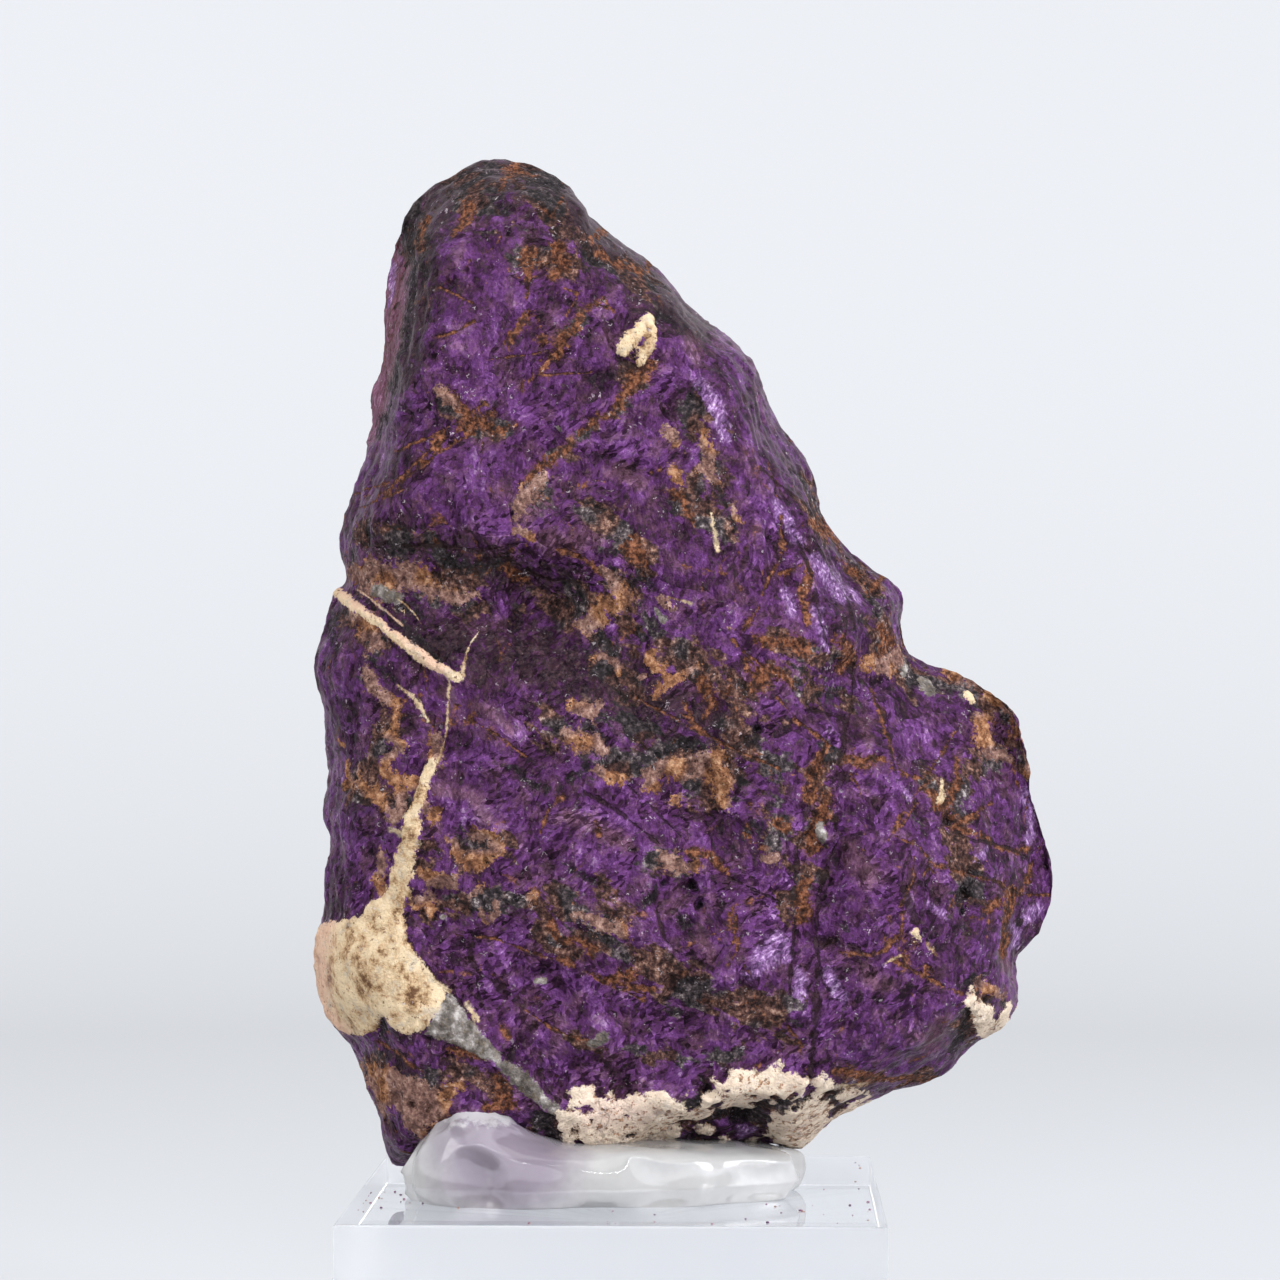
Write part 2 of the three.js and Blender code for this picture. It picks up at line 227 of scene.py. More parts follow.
lightSetup = {
    "world": (0.97, 0.98, 1.0),
    "worldStrength": 0.68,
    "lamps": [
        {
            "name": "overhead_softbox", "at": (-60, -60, 420), "size": (420, 420),
            "power": 0.95, "tint": (1.0, 0.99, 0.97),
        },
        {
            "name": "front_left_softbox", "at": (-330, -330, 190), "size": (260, 320),
            "power": 1.5, "tint": (1.0, 0.99, 0.98),
        },
        {
            "name": "right_softbox", "at": (340, -190, 170), "size": (220, 320),
            "power": 2.5, "tint": (0.97, 0.98, 1.0),
        },
        {
            "name": "strip_lamp", "at": (-40, -330, 300), "size": (260, 9),
            "power": 0.3, "tint": (1.0, 1.0, 1.0),
        },
    ],
    "aim": (0, 0, 45),
}


def makeLights(setup):
    world = bpy.data.worlds.new("light_tent")
    world.use_nodes = True
    background = world.node_tree.nodes["Background"]
    background.inputs["Color"].default_value = (*setup["world"], 1.0)
    background.inputs["Strength"].default_value = setup["worldStrength"]
    scene.world = world
    aim = Vector(setup["aim"]) * mm
    for lamp in setup["lamps"]:
        data = bpy.data.lights.new(lamp["name"], "AREA")
        data.shape = "RECTANGLE"
        data.size = lamp["size"][0] * mm
        data.size_y = lamp["size"][1] * mm
        data.energy = lamp["power"]
        data.color = lamp["tint"]
        made = addObject(lamp["name"], data)
        made.location = Vector(lamp["at"]) * mm
        made.rotation_euler = (aim - made.location).to_track_quat("-Z", "Y").to_euler()
    scene.view_settings.view_transform = "Standard"


floorSetup = {
    "flatRadius": 260,
    "curveRadius": 330,
    "wallHeight": 900,
    "steps": 24,
    "around": 128,
    # Painted light: the paper is coloured darker on the floor and lighter up the wall, blended between the
    # two distances below
    "floorColour": (189, 191, 195),
    "wallColour": (226, 228, 232),
    "brightFrom": 60,
    "brightTo": 680,
    "roughness": 0.9,
    "gloss": 0.1,
}


def makeFloor(setup):
    bm = bmesh.new()
    profile = [bm.verts.new((0.0, 0.0, 0.0)), bm.verts.new((setup["flatRadius"] * mm, 0.0, 0.0))]
    for step in range(1, setup["steps"] + 1):
        angle = math.pi / 2 * step / setup["steps"]
        out = setup["flatRadius"] + setup["curveRadius"] * math.sin(angle)
        up = setup["curveRadius"] * (1.0 - math.cos(angle))
        profile.append(bm.verts.new((out * mm, 0.0, up * mm)))
    profile.append(bm.verts.new((profile[-1].co.x, 0.0, setup["wallHeight"] * mm)))
    edges = [bm.edges.new(pair) for pair in zip(profile[:-1], profile[1:])]
    bmesh.ops.spin(
        bm, geom=profile + edges, axis=(0, 0, 1), cent=(0, 0, 0), angle=2 * math.pi,
        steps=setup["around"], use_merge=True, use_duplicate=False,
    )
    bmesh.ops.remove_doubles(bm, verts=bm.verts, dist=1e-6)
    bmesh.ops.recalc_face_normals(bm, faces=bm.faces)
    bmesh.ops.reverse_faces(bm, faces=bm.faces)
    floor = addObject("studio_floor", meshFromBmesh("studio_floor", bm))
    setSmooth(floor.data)
    material, tree, surface = newMaterial("matt_pale_paper")
    outward = vectors(tree, "MULTIPLY", millimetres(tree), (1.0, 1.0, 0.0))
    outward = vectors(tree, "LENGTH", outward, output="Value")
    # Painted light: the paper grows lighter from the floor up the wall
    paintedWallLight = soften(tree, outward, setup["brightFrom"], setup["brightTo"])
    paper = blend(tree, paintedWallLight, srgb(*setup["floorColour"]), srgb(*setup["wallColour"]))
    tree.links.new(paper, surface.inputs["Base Color"])
    surface.inputs["Roughness"].default_value = setup["roughness"]
    surface.inputs["Specular IOR Level"].default_value = setup["gloss"]
    floor.data.materials.append(material)
    floor.visible_shadow = False
    floor.visible_diffuse = False  # the paper's own glow reaches the stone as world light


makeCamera(cameraSetup)
makeLights(lightSetup)
makeFloor(floorSetup)
print("camera, lights and floor are made")

# Markings of the show face, each a run of (photo pixel across, down, half width in pixels)
paleStrokes = {
    "white patch": [(648, 319, 6.5), (641, 328, 8), (633, 340, 10), (624, 349, 7)],
    "white patch side": [(652, 330, 5), (649, 343, 6), (643, 355, 7), (640, 363, 4.4)],
    "rib": [(331, 588, 5), (345, 599, 5.4), (378, 624, 5), (405, 645, 5.2), (435, 666, 6), (458, 678, 5)],
    "rib fork": [(462, 674, 3.6), (466, 658, 2), (470, 648, 1.5), (476, 636, 1)],
    "rib root": [
        (450, 680, 3.2), (447, 700, 2.2), (447, 718, 1.8), (444, 735, 1.6), (442, 748, 1.4),
        (439, 758, 1.2),
    ],
    "pale thread a": [(360, 592, 1.4), (380, 607, 1.6), (398, 622, 1.4)],
    "pale thread b": [(402, 603, 1.4), (412, 612, 1.4), (417, 620, 1.2)],
    "pale thread c": [(672, 599, 1.6), (688, 603, 2)],
    "pale thread d": [(890, 962, 1.4), (897, 958, 1.4)],
    "band": [
        (433, 762, 4.5), (427, 778, 5.5), (417, 803, 5.5), (412, 818, 7), (412, 834, 9), (405, 858, 10),
        (397, 893, 12),
    ],
    "left streak": [(399, 688, 2), (410, 697, 3), (419, 708, 3), (425, 717, 2)],
    "left spot": [(392, 831, 4), (399, 834, 4)],
    "patch crumb": [(440, 984, 4), (447, 989, 4)],
    "band crumb": [(467, 1006, 4), (476, 1018, 4)],
    "lobe needle": [(941, 783, 2.5), (940, 798, 3.5)],
    "lobe rim dot": [(966, 697, 4.5), (972, 702, 3)],
    "lobe low dots": [(914, 931, 4.5), (917, 940, 4)],
    "lobe low dot": [(928, 945, 3), (933, 952, 3)],
    "face needle": [(712, 518, 2.2), (717, 547, 3)],
    "heel line": [(832, 1087, 2.4), (848, 1086, 2.6), (862, 1083, 2.2)],
}
raggedPale = {
    "foot edge": [
        (560, 1112, 5), (566, 1135, 6), (580, 1150, 8), (610, 1160, 8), (650, 1150, 7), (672, 1132, 5),
    ],
    "foot middle": [(668, 1102, 5), (684, 1108, 8), (700, 1112, 7), (716, 1098, 5)],
    "foot crumbs": [(700, 1128, 4), (716, 1136, 4), (735, 1143, 4), (760, 1146, 6), (785, 1150, 6)],
    "heel crumbs": [(838, 1096, 4), (852, 1092, 5), (868, 1090, 3)],
}
palePatches = {
    "feldspar": [
        (308, 927), (330, 922), (363, 918), (366, 903), (386, 893), (405, 893), (404, 918), (408, 941),
        (426, 968), (436, 980), (448, 988), (443, 1004), (424, 1033), (408, 1036), (394, 1027),
        (386, 1014), (379, 1018), (374, 1032), (358, 1038), (345, 1034), (326, 1020), (308, 985),
    ],
    "foot mass": [
        (566, 1103), (573, 1089), (590, 1087), (606, 1093), (622, 1098), (632, 1088), (652, 1092),
        (667, 1095), (678, 1106), (680, 1124), (668, 1136), (655, 1140), (645, 1152), (624, 1166),
        (598, 1164), (582, 1150), (573, 1140), (566, 1126),
    ],
    "foot yellow": [
        (681, 1092), (688, 1082), (696, 1089), (698, 1103), (705, 1116), (695, 1123), (685, 1112),
    ],
    "foot block": [
        (712, 1078), (724, 1074), (746, 1068), (782, 1065), (801, 1068), (808, 1080), (805, 1093),
        (784, 1098), (757, 1102), (728, 1109), (721, 1100), (721, 1090),
    ],
    "heel": [
        (769, 1119), (783, 1111), (798, 1106), (809, 1097), (823, 1096), (832, 1104), (834, 1119),
        (828, 1134), (816, 1144), (800, 1152), (784, 1152), (770, 1142), (763, 1132),
    ],
    "heel top": [(811, 1091), (814, 1080), (821, 1071), (833, 1078), (830, 1087), (820, 1093)],
    "heel wedge": [
        (836, 1107), (850, 1100), (870, 1094), (876, 1098), (858, 1110), (840, 1122), (833, 1118),
    ],
    "lobe corner": [
        (961, 997), (975, 991), (985, 999), (995, 1012), (1006, 1000), (1014, 1008), (1008, 1024),
        (996, 1038), (984, 1038), (974, 1024), (968, 1010),
    ],
}
rearStrip = {
    "strip": [
        (360, 205), (396, 214), (400, 236), (412, 262), (405, 300), (398, 345), (388, 400), (374, 440),
        (350, 452),
    ],
}
quartzStrokes = {
    "lobe top dot": [(904, 666, 3), (903, 675, 3.5)],
    "lobe top lump": [(922, 682, 5), (928, 692, 7)],
    "cyan dot": [(537, 981, 4), (543, 981, 4.5)],
    "fissure crystal": [(820, 827, 5), (822, 838, 5.5)],
    "lower dot": [(592, 1044, 5), (603, 1037, 7)],
    "grey dot": [(441, 916, 3), (445, 919, 3)],
    "band grey": [(415, 835, 6), (405, 856, 8)],
    "ledge grey": [(378, 590, 8), (395, 598, 8)],
    "middle grey": [(655, 612, 4), (664, 620, 5)],
    "face grey": [(556, 427, 2.5), (562, 431, 2.5)],
}
quartzPatches = {
    "quartz band": [
        (447, 991), (456, 1000), (466, 1015), (490, 1042), (503, 1059), (528, 1073), (541, 1088),
        (546, 1099), (561, 1103), (567, 1113), (553, 1117), (531, 1100), (508, 1083), (497, 1067),
        (470, 1053), (440, 1039), (423, 1034), (430, 1018),
    ],
}
tanStrokes = {
    "lilac lump": [(516, 512, 6), (530, 494, 9), (542, 478, 6)],
    "yellow spot": [(517, 530, 5), (528, 537, 7)],
    "face crumb": [(733, 508, 4), (738, 520, 5)],
    "face crumb high": [(703, 433, 4), (708, 437, 4)],
    "stone yellow": [(680, 797, 4), (674, 803, 5)],
    "ledge sand": [(352, 574, 8), (372, 572, 12), (392, 580, 16), (410, 576, 12), (428, 588, 11)],
    "ledge sand low": [(380, 594, 9), (366, 590, 7)],
    "ledge right": [(446, 596, 8), (462, 600, 6), (478, 594, 4)],
    "under rib": [(350, 611, 6), (366, 628, 9), (378, 644, 7), (368, 652, 4)],
    "left net a": [(367, 672, 6), (372, 689, 8), (386, 700, 6), (397, 706, 4)],
    "left net b": [
        (396, 712, 3), (392, 728, 4), (387, 738, 4), (401, 746, 5), (390, 757, 5), (385, 772, 6),
    ],
    "left net c": [(385, 772, 6), (397, 783, 7), (412, 786, 8)],
    "left net d": [
        (344, 763, 2.5), (346, 778, 4), (342, 788, 3), (363, 787, 5), (376, 797, 7), (386, 812, 6),
    ],
    "left net e": [(358, 764, 1.8), (358, 778, 2.2)],
    "left net f": [(395, 818, 7), (403, 806, 5), (398, 792, 7), (404, 784, 6)],
    "left net g": [(336, 740, 2), (341, 745, 2.5)],
    "left net h": [(381, 856, 5), (384, 868, 5), (377, 880, 6), (384, 892, 5)],
    "vein side": [(434, 736, 5), (435, 750, 7), (440, 766, 4)],
    "by the band": [(424, 804, 6), (431, 816, 8)],
    "band crust a": [(424, 874, 6), (436, 884, 9), (450, 884, 8), (457, 876, 4)],
    "band crust b": [(413, 905, 6), (426, 900, 8), (432, 912, 5)],
    "band crust c": [
        (451, 843, 5), (459, 855, 6), (471, 862, 8), (484, 858, 7), (497, 852, 6), (492, 834, 7),
        (476, 833, 7),
    ],
    "lilac crust": [(470, 895, 5), (482, 890, 5)],
    "orange crumbs": [(497, 902, 3), (500, 912, 3), (486, 920, 4), (482, 912, 3)],
    "orange heart": [(529, 903, 4), (536, 896, 6)],
    "middle crust a": [
        (600, 570, 5), (612, 580, 6), (620, 592, 7), (626, 602, 7), (612, 608, 7), (599, 598, 5),
    ],
    "middle crust b": [(596, 611, 7), (601, 622, 8), (588, 628, 8), (574, 624, 5)],
    "middle crust c": [(660, 602, 5), (672, 609, 4)],
    "branching": [(650, 648, 2.5), (652, 660, 5), (656, 669, 5), (645, 675, 3.5), (637, 678, 2.5)],
    "branching low": [(662, 671, 5), (669, 682, 5), (660, 692, 4), (656, 697, 2.5)],
    "branching right": [(672, 682, 5), (686, 672, 4), (702, 668, 2.5)],
    "ring": [(594, 661, 4), (605, 656, 4), (616, 662, 3.5), (620, 677, 3)],
    "pink crust": [(572, 706, 5), (590, 712, 8), (601, 706, 4)],
    "lump crust a": [(566, 734, 6), (580, 745, 9), (595, 740, 9), (604, 748, 6)],
    "lump crust b": [
        (654, 786, 9), (648, 773, 6), (662, 769, 8), (682, 768, 10), (701, 762, 11), (718, 757, 9),
    ],
    "lump crust c": [(706, 781, 6), (720, 772, 9), (727, 783, 6), (716, 795, 7), (726, 806, 6)],
    "lump crust d": [(600, 768, 6), (612, 778, 6), (622, 782, 5)],
    "low crust": [(664, 858, 7), (680, 865, 8), (697, 868, 6)],
    "smudge": [(576, 915, 5), (600, 925, 8), (625, 930, 8)],
    "right tan": [(765, 857, 6), (775, 859, 5)],
    "face mottle a": [(668, 432, 6), (676, 442, 5)],
    "face mottle b": [(702, 440, 5), (712, 455, 6), (706, 470, 8), (716, 480, 6)],
    "face mottle c": [(672, 470, 6), (680, 480, 5)],
    "face pink": [(440, 392, 6), (450, 402, 5)],
    "rim tan a": [(866, 664, 8), (885, 668, 9), (898, 655, 7)],
    "rim tan b": [(945, 668, 5), (965, 675, 7), (990, 692, 7), (1012, 712, 5)],
    "rim tan c": [(983, 720, 8), (978, 736, 8), (990, 748, 7), (1004, 758, 5)],
    "rim tan d": [(1020, 728, 5), (1025, 750, 5), (1028, 775, 4)],
    "lobe low tan": [(985, 985, 7), (998, 995, 6)],
}
tanPatches = {
    "porous tip": [
        (358, 1062), (380, 1066), (402, 1072), (424, 1082), (440, 1090), (458, 1081), (464, 1088),
        (449, 1103), (445, 1117), (430, 1127), (422, 1146), (409, 1128), (401, 1113), (391, 1106),
        (385, 1120), (374, 1104), (366, 1086),
    ],
}
rustStrokes = {
    "fine a": [(436, 335, 2), (455, 330, 2.6), (470, 322, 1.6)],
    "fine b": [(443, 288, 1.6), (470, 301, 1.8)],
    "fine c": [(491, 358, 1.4), (520, 355, 1.6), (548, 350, 2)],
    "fine d": [(544, 374, 1.6), (587, 372, 1.4)],
    "fine e": [(568, 312, 2), (578, 293, 2), (568, 289, 1.6)],
    "fine f": [(599, 305, 2), (609, 310, 2.4), (604, 300, 1.4)],
    "fine g": [(400, 482, 1.6), (440, 452, 1.8), (472, 432, 2)],
    "fine h": [
        (460, 936, 2), (494, 939, 2), (523, 950, 2.2), (555, 961, 2.4), (587, 975, 2.4), (619, 989, 2.2),
        (641, 998, 2),
    ],
    "fine i": [(528, 1013, 2), (551, 1029, 2.2), (573, 1038, 2.4), (596, 1041, 2)],
    "fine j": [(927, 783, 2.4), (911, 800, 2.4), (892, 833, 2.2)],
    "fine k": [(989, 804, 3), (969, 818, 3), (954, 826, 2.4)],
    "fine l": [(896, 768, 2), (915, 779, 3), (927, 775, 3), (958, 727, 1.8)],
    "fine m": [(1018, 893, 2.4), (1033, 862, 1.8), (1039, 847, 1.4)],
    "fine n": [(896, 835, 2), (915, 845, 1.8), (935, 862, 1.6), (927, 872, 1.4)],
    "fine o": [(1006, 884, 2.4), (1012, 911, 2.6), (1004, 926, 2)],
    "fine p": [(904, 901, 1.6), (915, 880, 1.8), (913, 862, 1.6)],
    "fine q": [(734, 939, 2.4), (736, 920, 2)],
    "fine r": [(640, 700, 2), (668, 716, 2.4), (705, 735, 2), (740, 752, 2), (775, 768, 2)],
    "fine s": [(780, 700, 2), (800, 722, 2.2), (826, 742, 2)],
    "fine t": [(470, 720, 1.8), (500, 738, 1.6), (520, 752, 1.6)],
    "top a": [(527, 248, 7), (530, 262, 9), (528, 276, 5)],
    "top b": [(556, 246, 7), (561, 262, 10), (555, 275, 5)],
    "top c": [(466, 203, 6), (463, 218, 7), (455, 233, 3)],
    "top d": [(500, 182, 4), (514, 164, 5), (530, 172, 3)],
    "top e": [(540, 205, 2.5), (552, 212, 2.5), (561, 198, 2.5)],
    "top f": [(592, 238, 5), (606, 228, 4)],
    "top g": [(597, 253, 4), (616, 262, 5), (640, 272, 4), (652, 262, 3)],
    "top h": [(425, 218, 4), (418, 232, 3), (420, 245, 3)],
    "vein a": [
        (602, 296, 2.5), (586, 308, 3), (572, 330, 6), (560, 344, 7), (553, 358, 4), (537, 372, 2.5),
        (519, 387, 3),
    ],
    "vein b": [
        (648, 366, 9), (640, 378, 10), (627, 393, 7), (606, 415, 4), (574, 440, 2.5), (558, 455, 4),
        (539, 468, 6), (525, 482, 4),
    ],
    "vein c": [(447, 396, 5), (462, 412, 6), (476, 423, 6), (498, 428, 4), (522, 424, 2.5)],
    "vein d": [
        (492, 414, 3), (462, 428, 3), (440, 441, 3.5), (420, 458, 2.5), (400, 477, 2), (379, 493, 2),
    ],
    "vein e": [(482, 404, 2), (455, 422, 2), (430, 436, 2), (398, 449, 1.8)],
    "vein f": [(384, 482, 1.5), (349, 495, 1.5)],
    "vein g": [(397, 491, 1.5), (362, 506, 1.5)],
    "vein h": [(484, 425, 2), (480, 460, 1.8)],
    "vein i": [(560, 551, 3), (574, 557, 3), (588, 564, 4), (600, 574, 4)],
    "ledge brown": [(625, 548, 8), (640, 560, 9), (634, 540, 5)],
    "ledge deep": [(470, 575, 5), (500, 572, 4), (525, 580, 4)],
    "face a": [(672, 492, 6), (682, 500, 6), (690, 520, 4)],
    "flank a": [(812, 522, 5), (826, 530, 7), (840, 540, 4)],
    "flank b": [(783, 520, 2), (786, 545, 4), (783, 560, 3), (772, 575, 1.8), (764, 592, 1.6)],
    "flank gold": [(809, 567, 4), (808, 590, 5), (812, 620, 4)],
    "flank c": [(786, 572, 3), (800, 566, 4)],
    "flank d": [(757, 610, 2), (751, 619, 4), (744, 629, 2.5)],
    "flank e": [(838, 560, 3), (862, 575, 4), (868, 592, 3), (890, 570, 4)],
    "shoulder a": [(842, 640, 6), (848, 660, 8), (838, 672, 4)],
    "shoulder b": [(883, 625, 3), (890, 645, 8), (876, 658, 6)],
    "centre orange a": [(700, 682, 6), (708, 692, 8), (714, 704, 6), (704, 712, 4)],
    "centre orange b": [(744, 660, 3), (746, 668, 4)],
    "centre orange c": [(748, 690, 6), (760, 678, 11), (774, 668, 7), (784, 680, 3), (800, 694, 1.8)],
    "centre brown": [(755, 640, 5), (772, 646, 6), (792, 640, 8), (806, 652, 7)],
    "centre thread": [(735, 643, 2.5), (746, 655, 2), (760, 664, 2.5)],
    "centre low": [(684, 706, 4), (692, 722, 2.5), (704, 731, 2)],
    "lower gold": [(612, 978, 4), (622, 974, 6), (633, 972, 5)],
    "lower vein": [(556, 958, 3), (580, 970, 3), (602, 978, 3), (628, 985, 4), (652, 988, 4)],
    "lower knot": [(552, 925, 5), (559, 940, 5), (580, 942, 3), (594, 948, 5), (593, 958, 4)],
    "low right gold": [(686, 850, 4), (708, 854, 5), (722, 868, 4), (731, 876, 2)],
    "right gold": [(780, 823, 5), (786, 830, 3)],
    "right thread": [(740, 933, 3), (737, 950, 3), (731, 962, 2.5)],
    "left vein": [(560, 798, 4), (548, 812, 3), (542, 830, 2.5)],
    "left dot": [(596, 824, 4), (598, 833, 3)],
    "tip vein": [(378, 1044, 2), (398, 1057, 2.6), (420, 1071, 2)],
    "under quartz": [(452, 1050, 5), (470, 1054, 5), (488, 1060, 3)],
    "foot brown": [(498, 1078, 5), (502, 1094, 9), (512, 1107, 7), (490, 1108, 5)],
    "quartz orange": [(503, 1028, 5), (508, 1036, 5)],
    "foot orange": [(643, 1118, 7), (652, 1128, 6)],
    "fissure side": [(830, 745, 4), (815, 776, 6), (808, 800, 6)],
    "fissure heart": [(826, 800, 8), (818, 822, 8), (812, 850, 5)],
    "fissure foot": [(806, 880, 6), (803, 905, 8), (801, 920, 5)],
    "lobe a": [(871, 693, 3), (880, 712, 3.5), (890, 740, 2.5), (902, 774, 2), (924, 779, 3)],
    "lobe b": [(915, 806, 2.5), (903, 824, 2), (892, 836, 2)],
    "lobe c": [(843, 759, 4), (866, 762, 5), (890, 759, 2.5)],
    "lobe d": [(958, 760, 3), (957, 785, 4), (944, 806, 6), (926, 790, 4)],
    "lobe e": [(948, 820, 5), (971, 831, 3), (1000, 846, 2.6), (1019, 853, 2.2), (1032, 846, 1.6)],
    "lobe f": [
        (1031, 870, 2.4), (1026, 885, 3), (1014, 891, 3.5), (1008, 910, 5), (1006, 930, 3),
        (1003, 955, 3),
    ],
    "lobe g": [(1052, 895, 1.8), (1036, 895, 2), (1016, 893, 3)],
    "lobe h": [(914, 841, 2), (933, 864, 2), (962, 872, 3), (996, 881, 2), (1014, 891, 3)],
    "lobe i": [(990, 908, 5), (1000, 900, 4)],
    "lobe j": [(903, 915, 2.5), (900, 935, 2.5), (888, 950, 3), (868, 955, 4), (842, 953, 4)],
    "lobe k": [(897, 962, 2.5), (918, 972, 3), (940, 985, 3.5), (958, 992, 3)],
    "lobe l": [(925, 966, 3), (929, 969, 3)],
    "bottom rim": [(835, 1072, 5), (862, 1076, 5), (893, 1078, 4), (935, 1078, 3)],
    "low lobe": [(790, 1030, 3), (800, 1045, 3)],
}
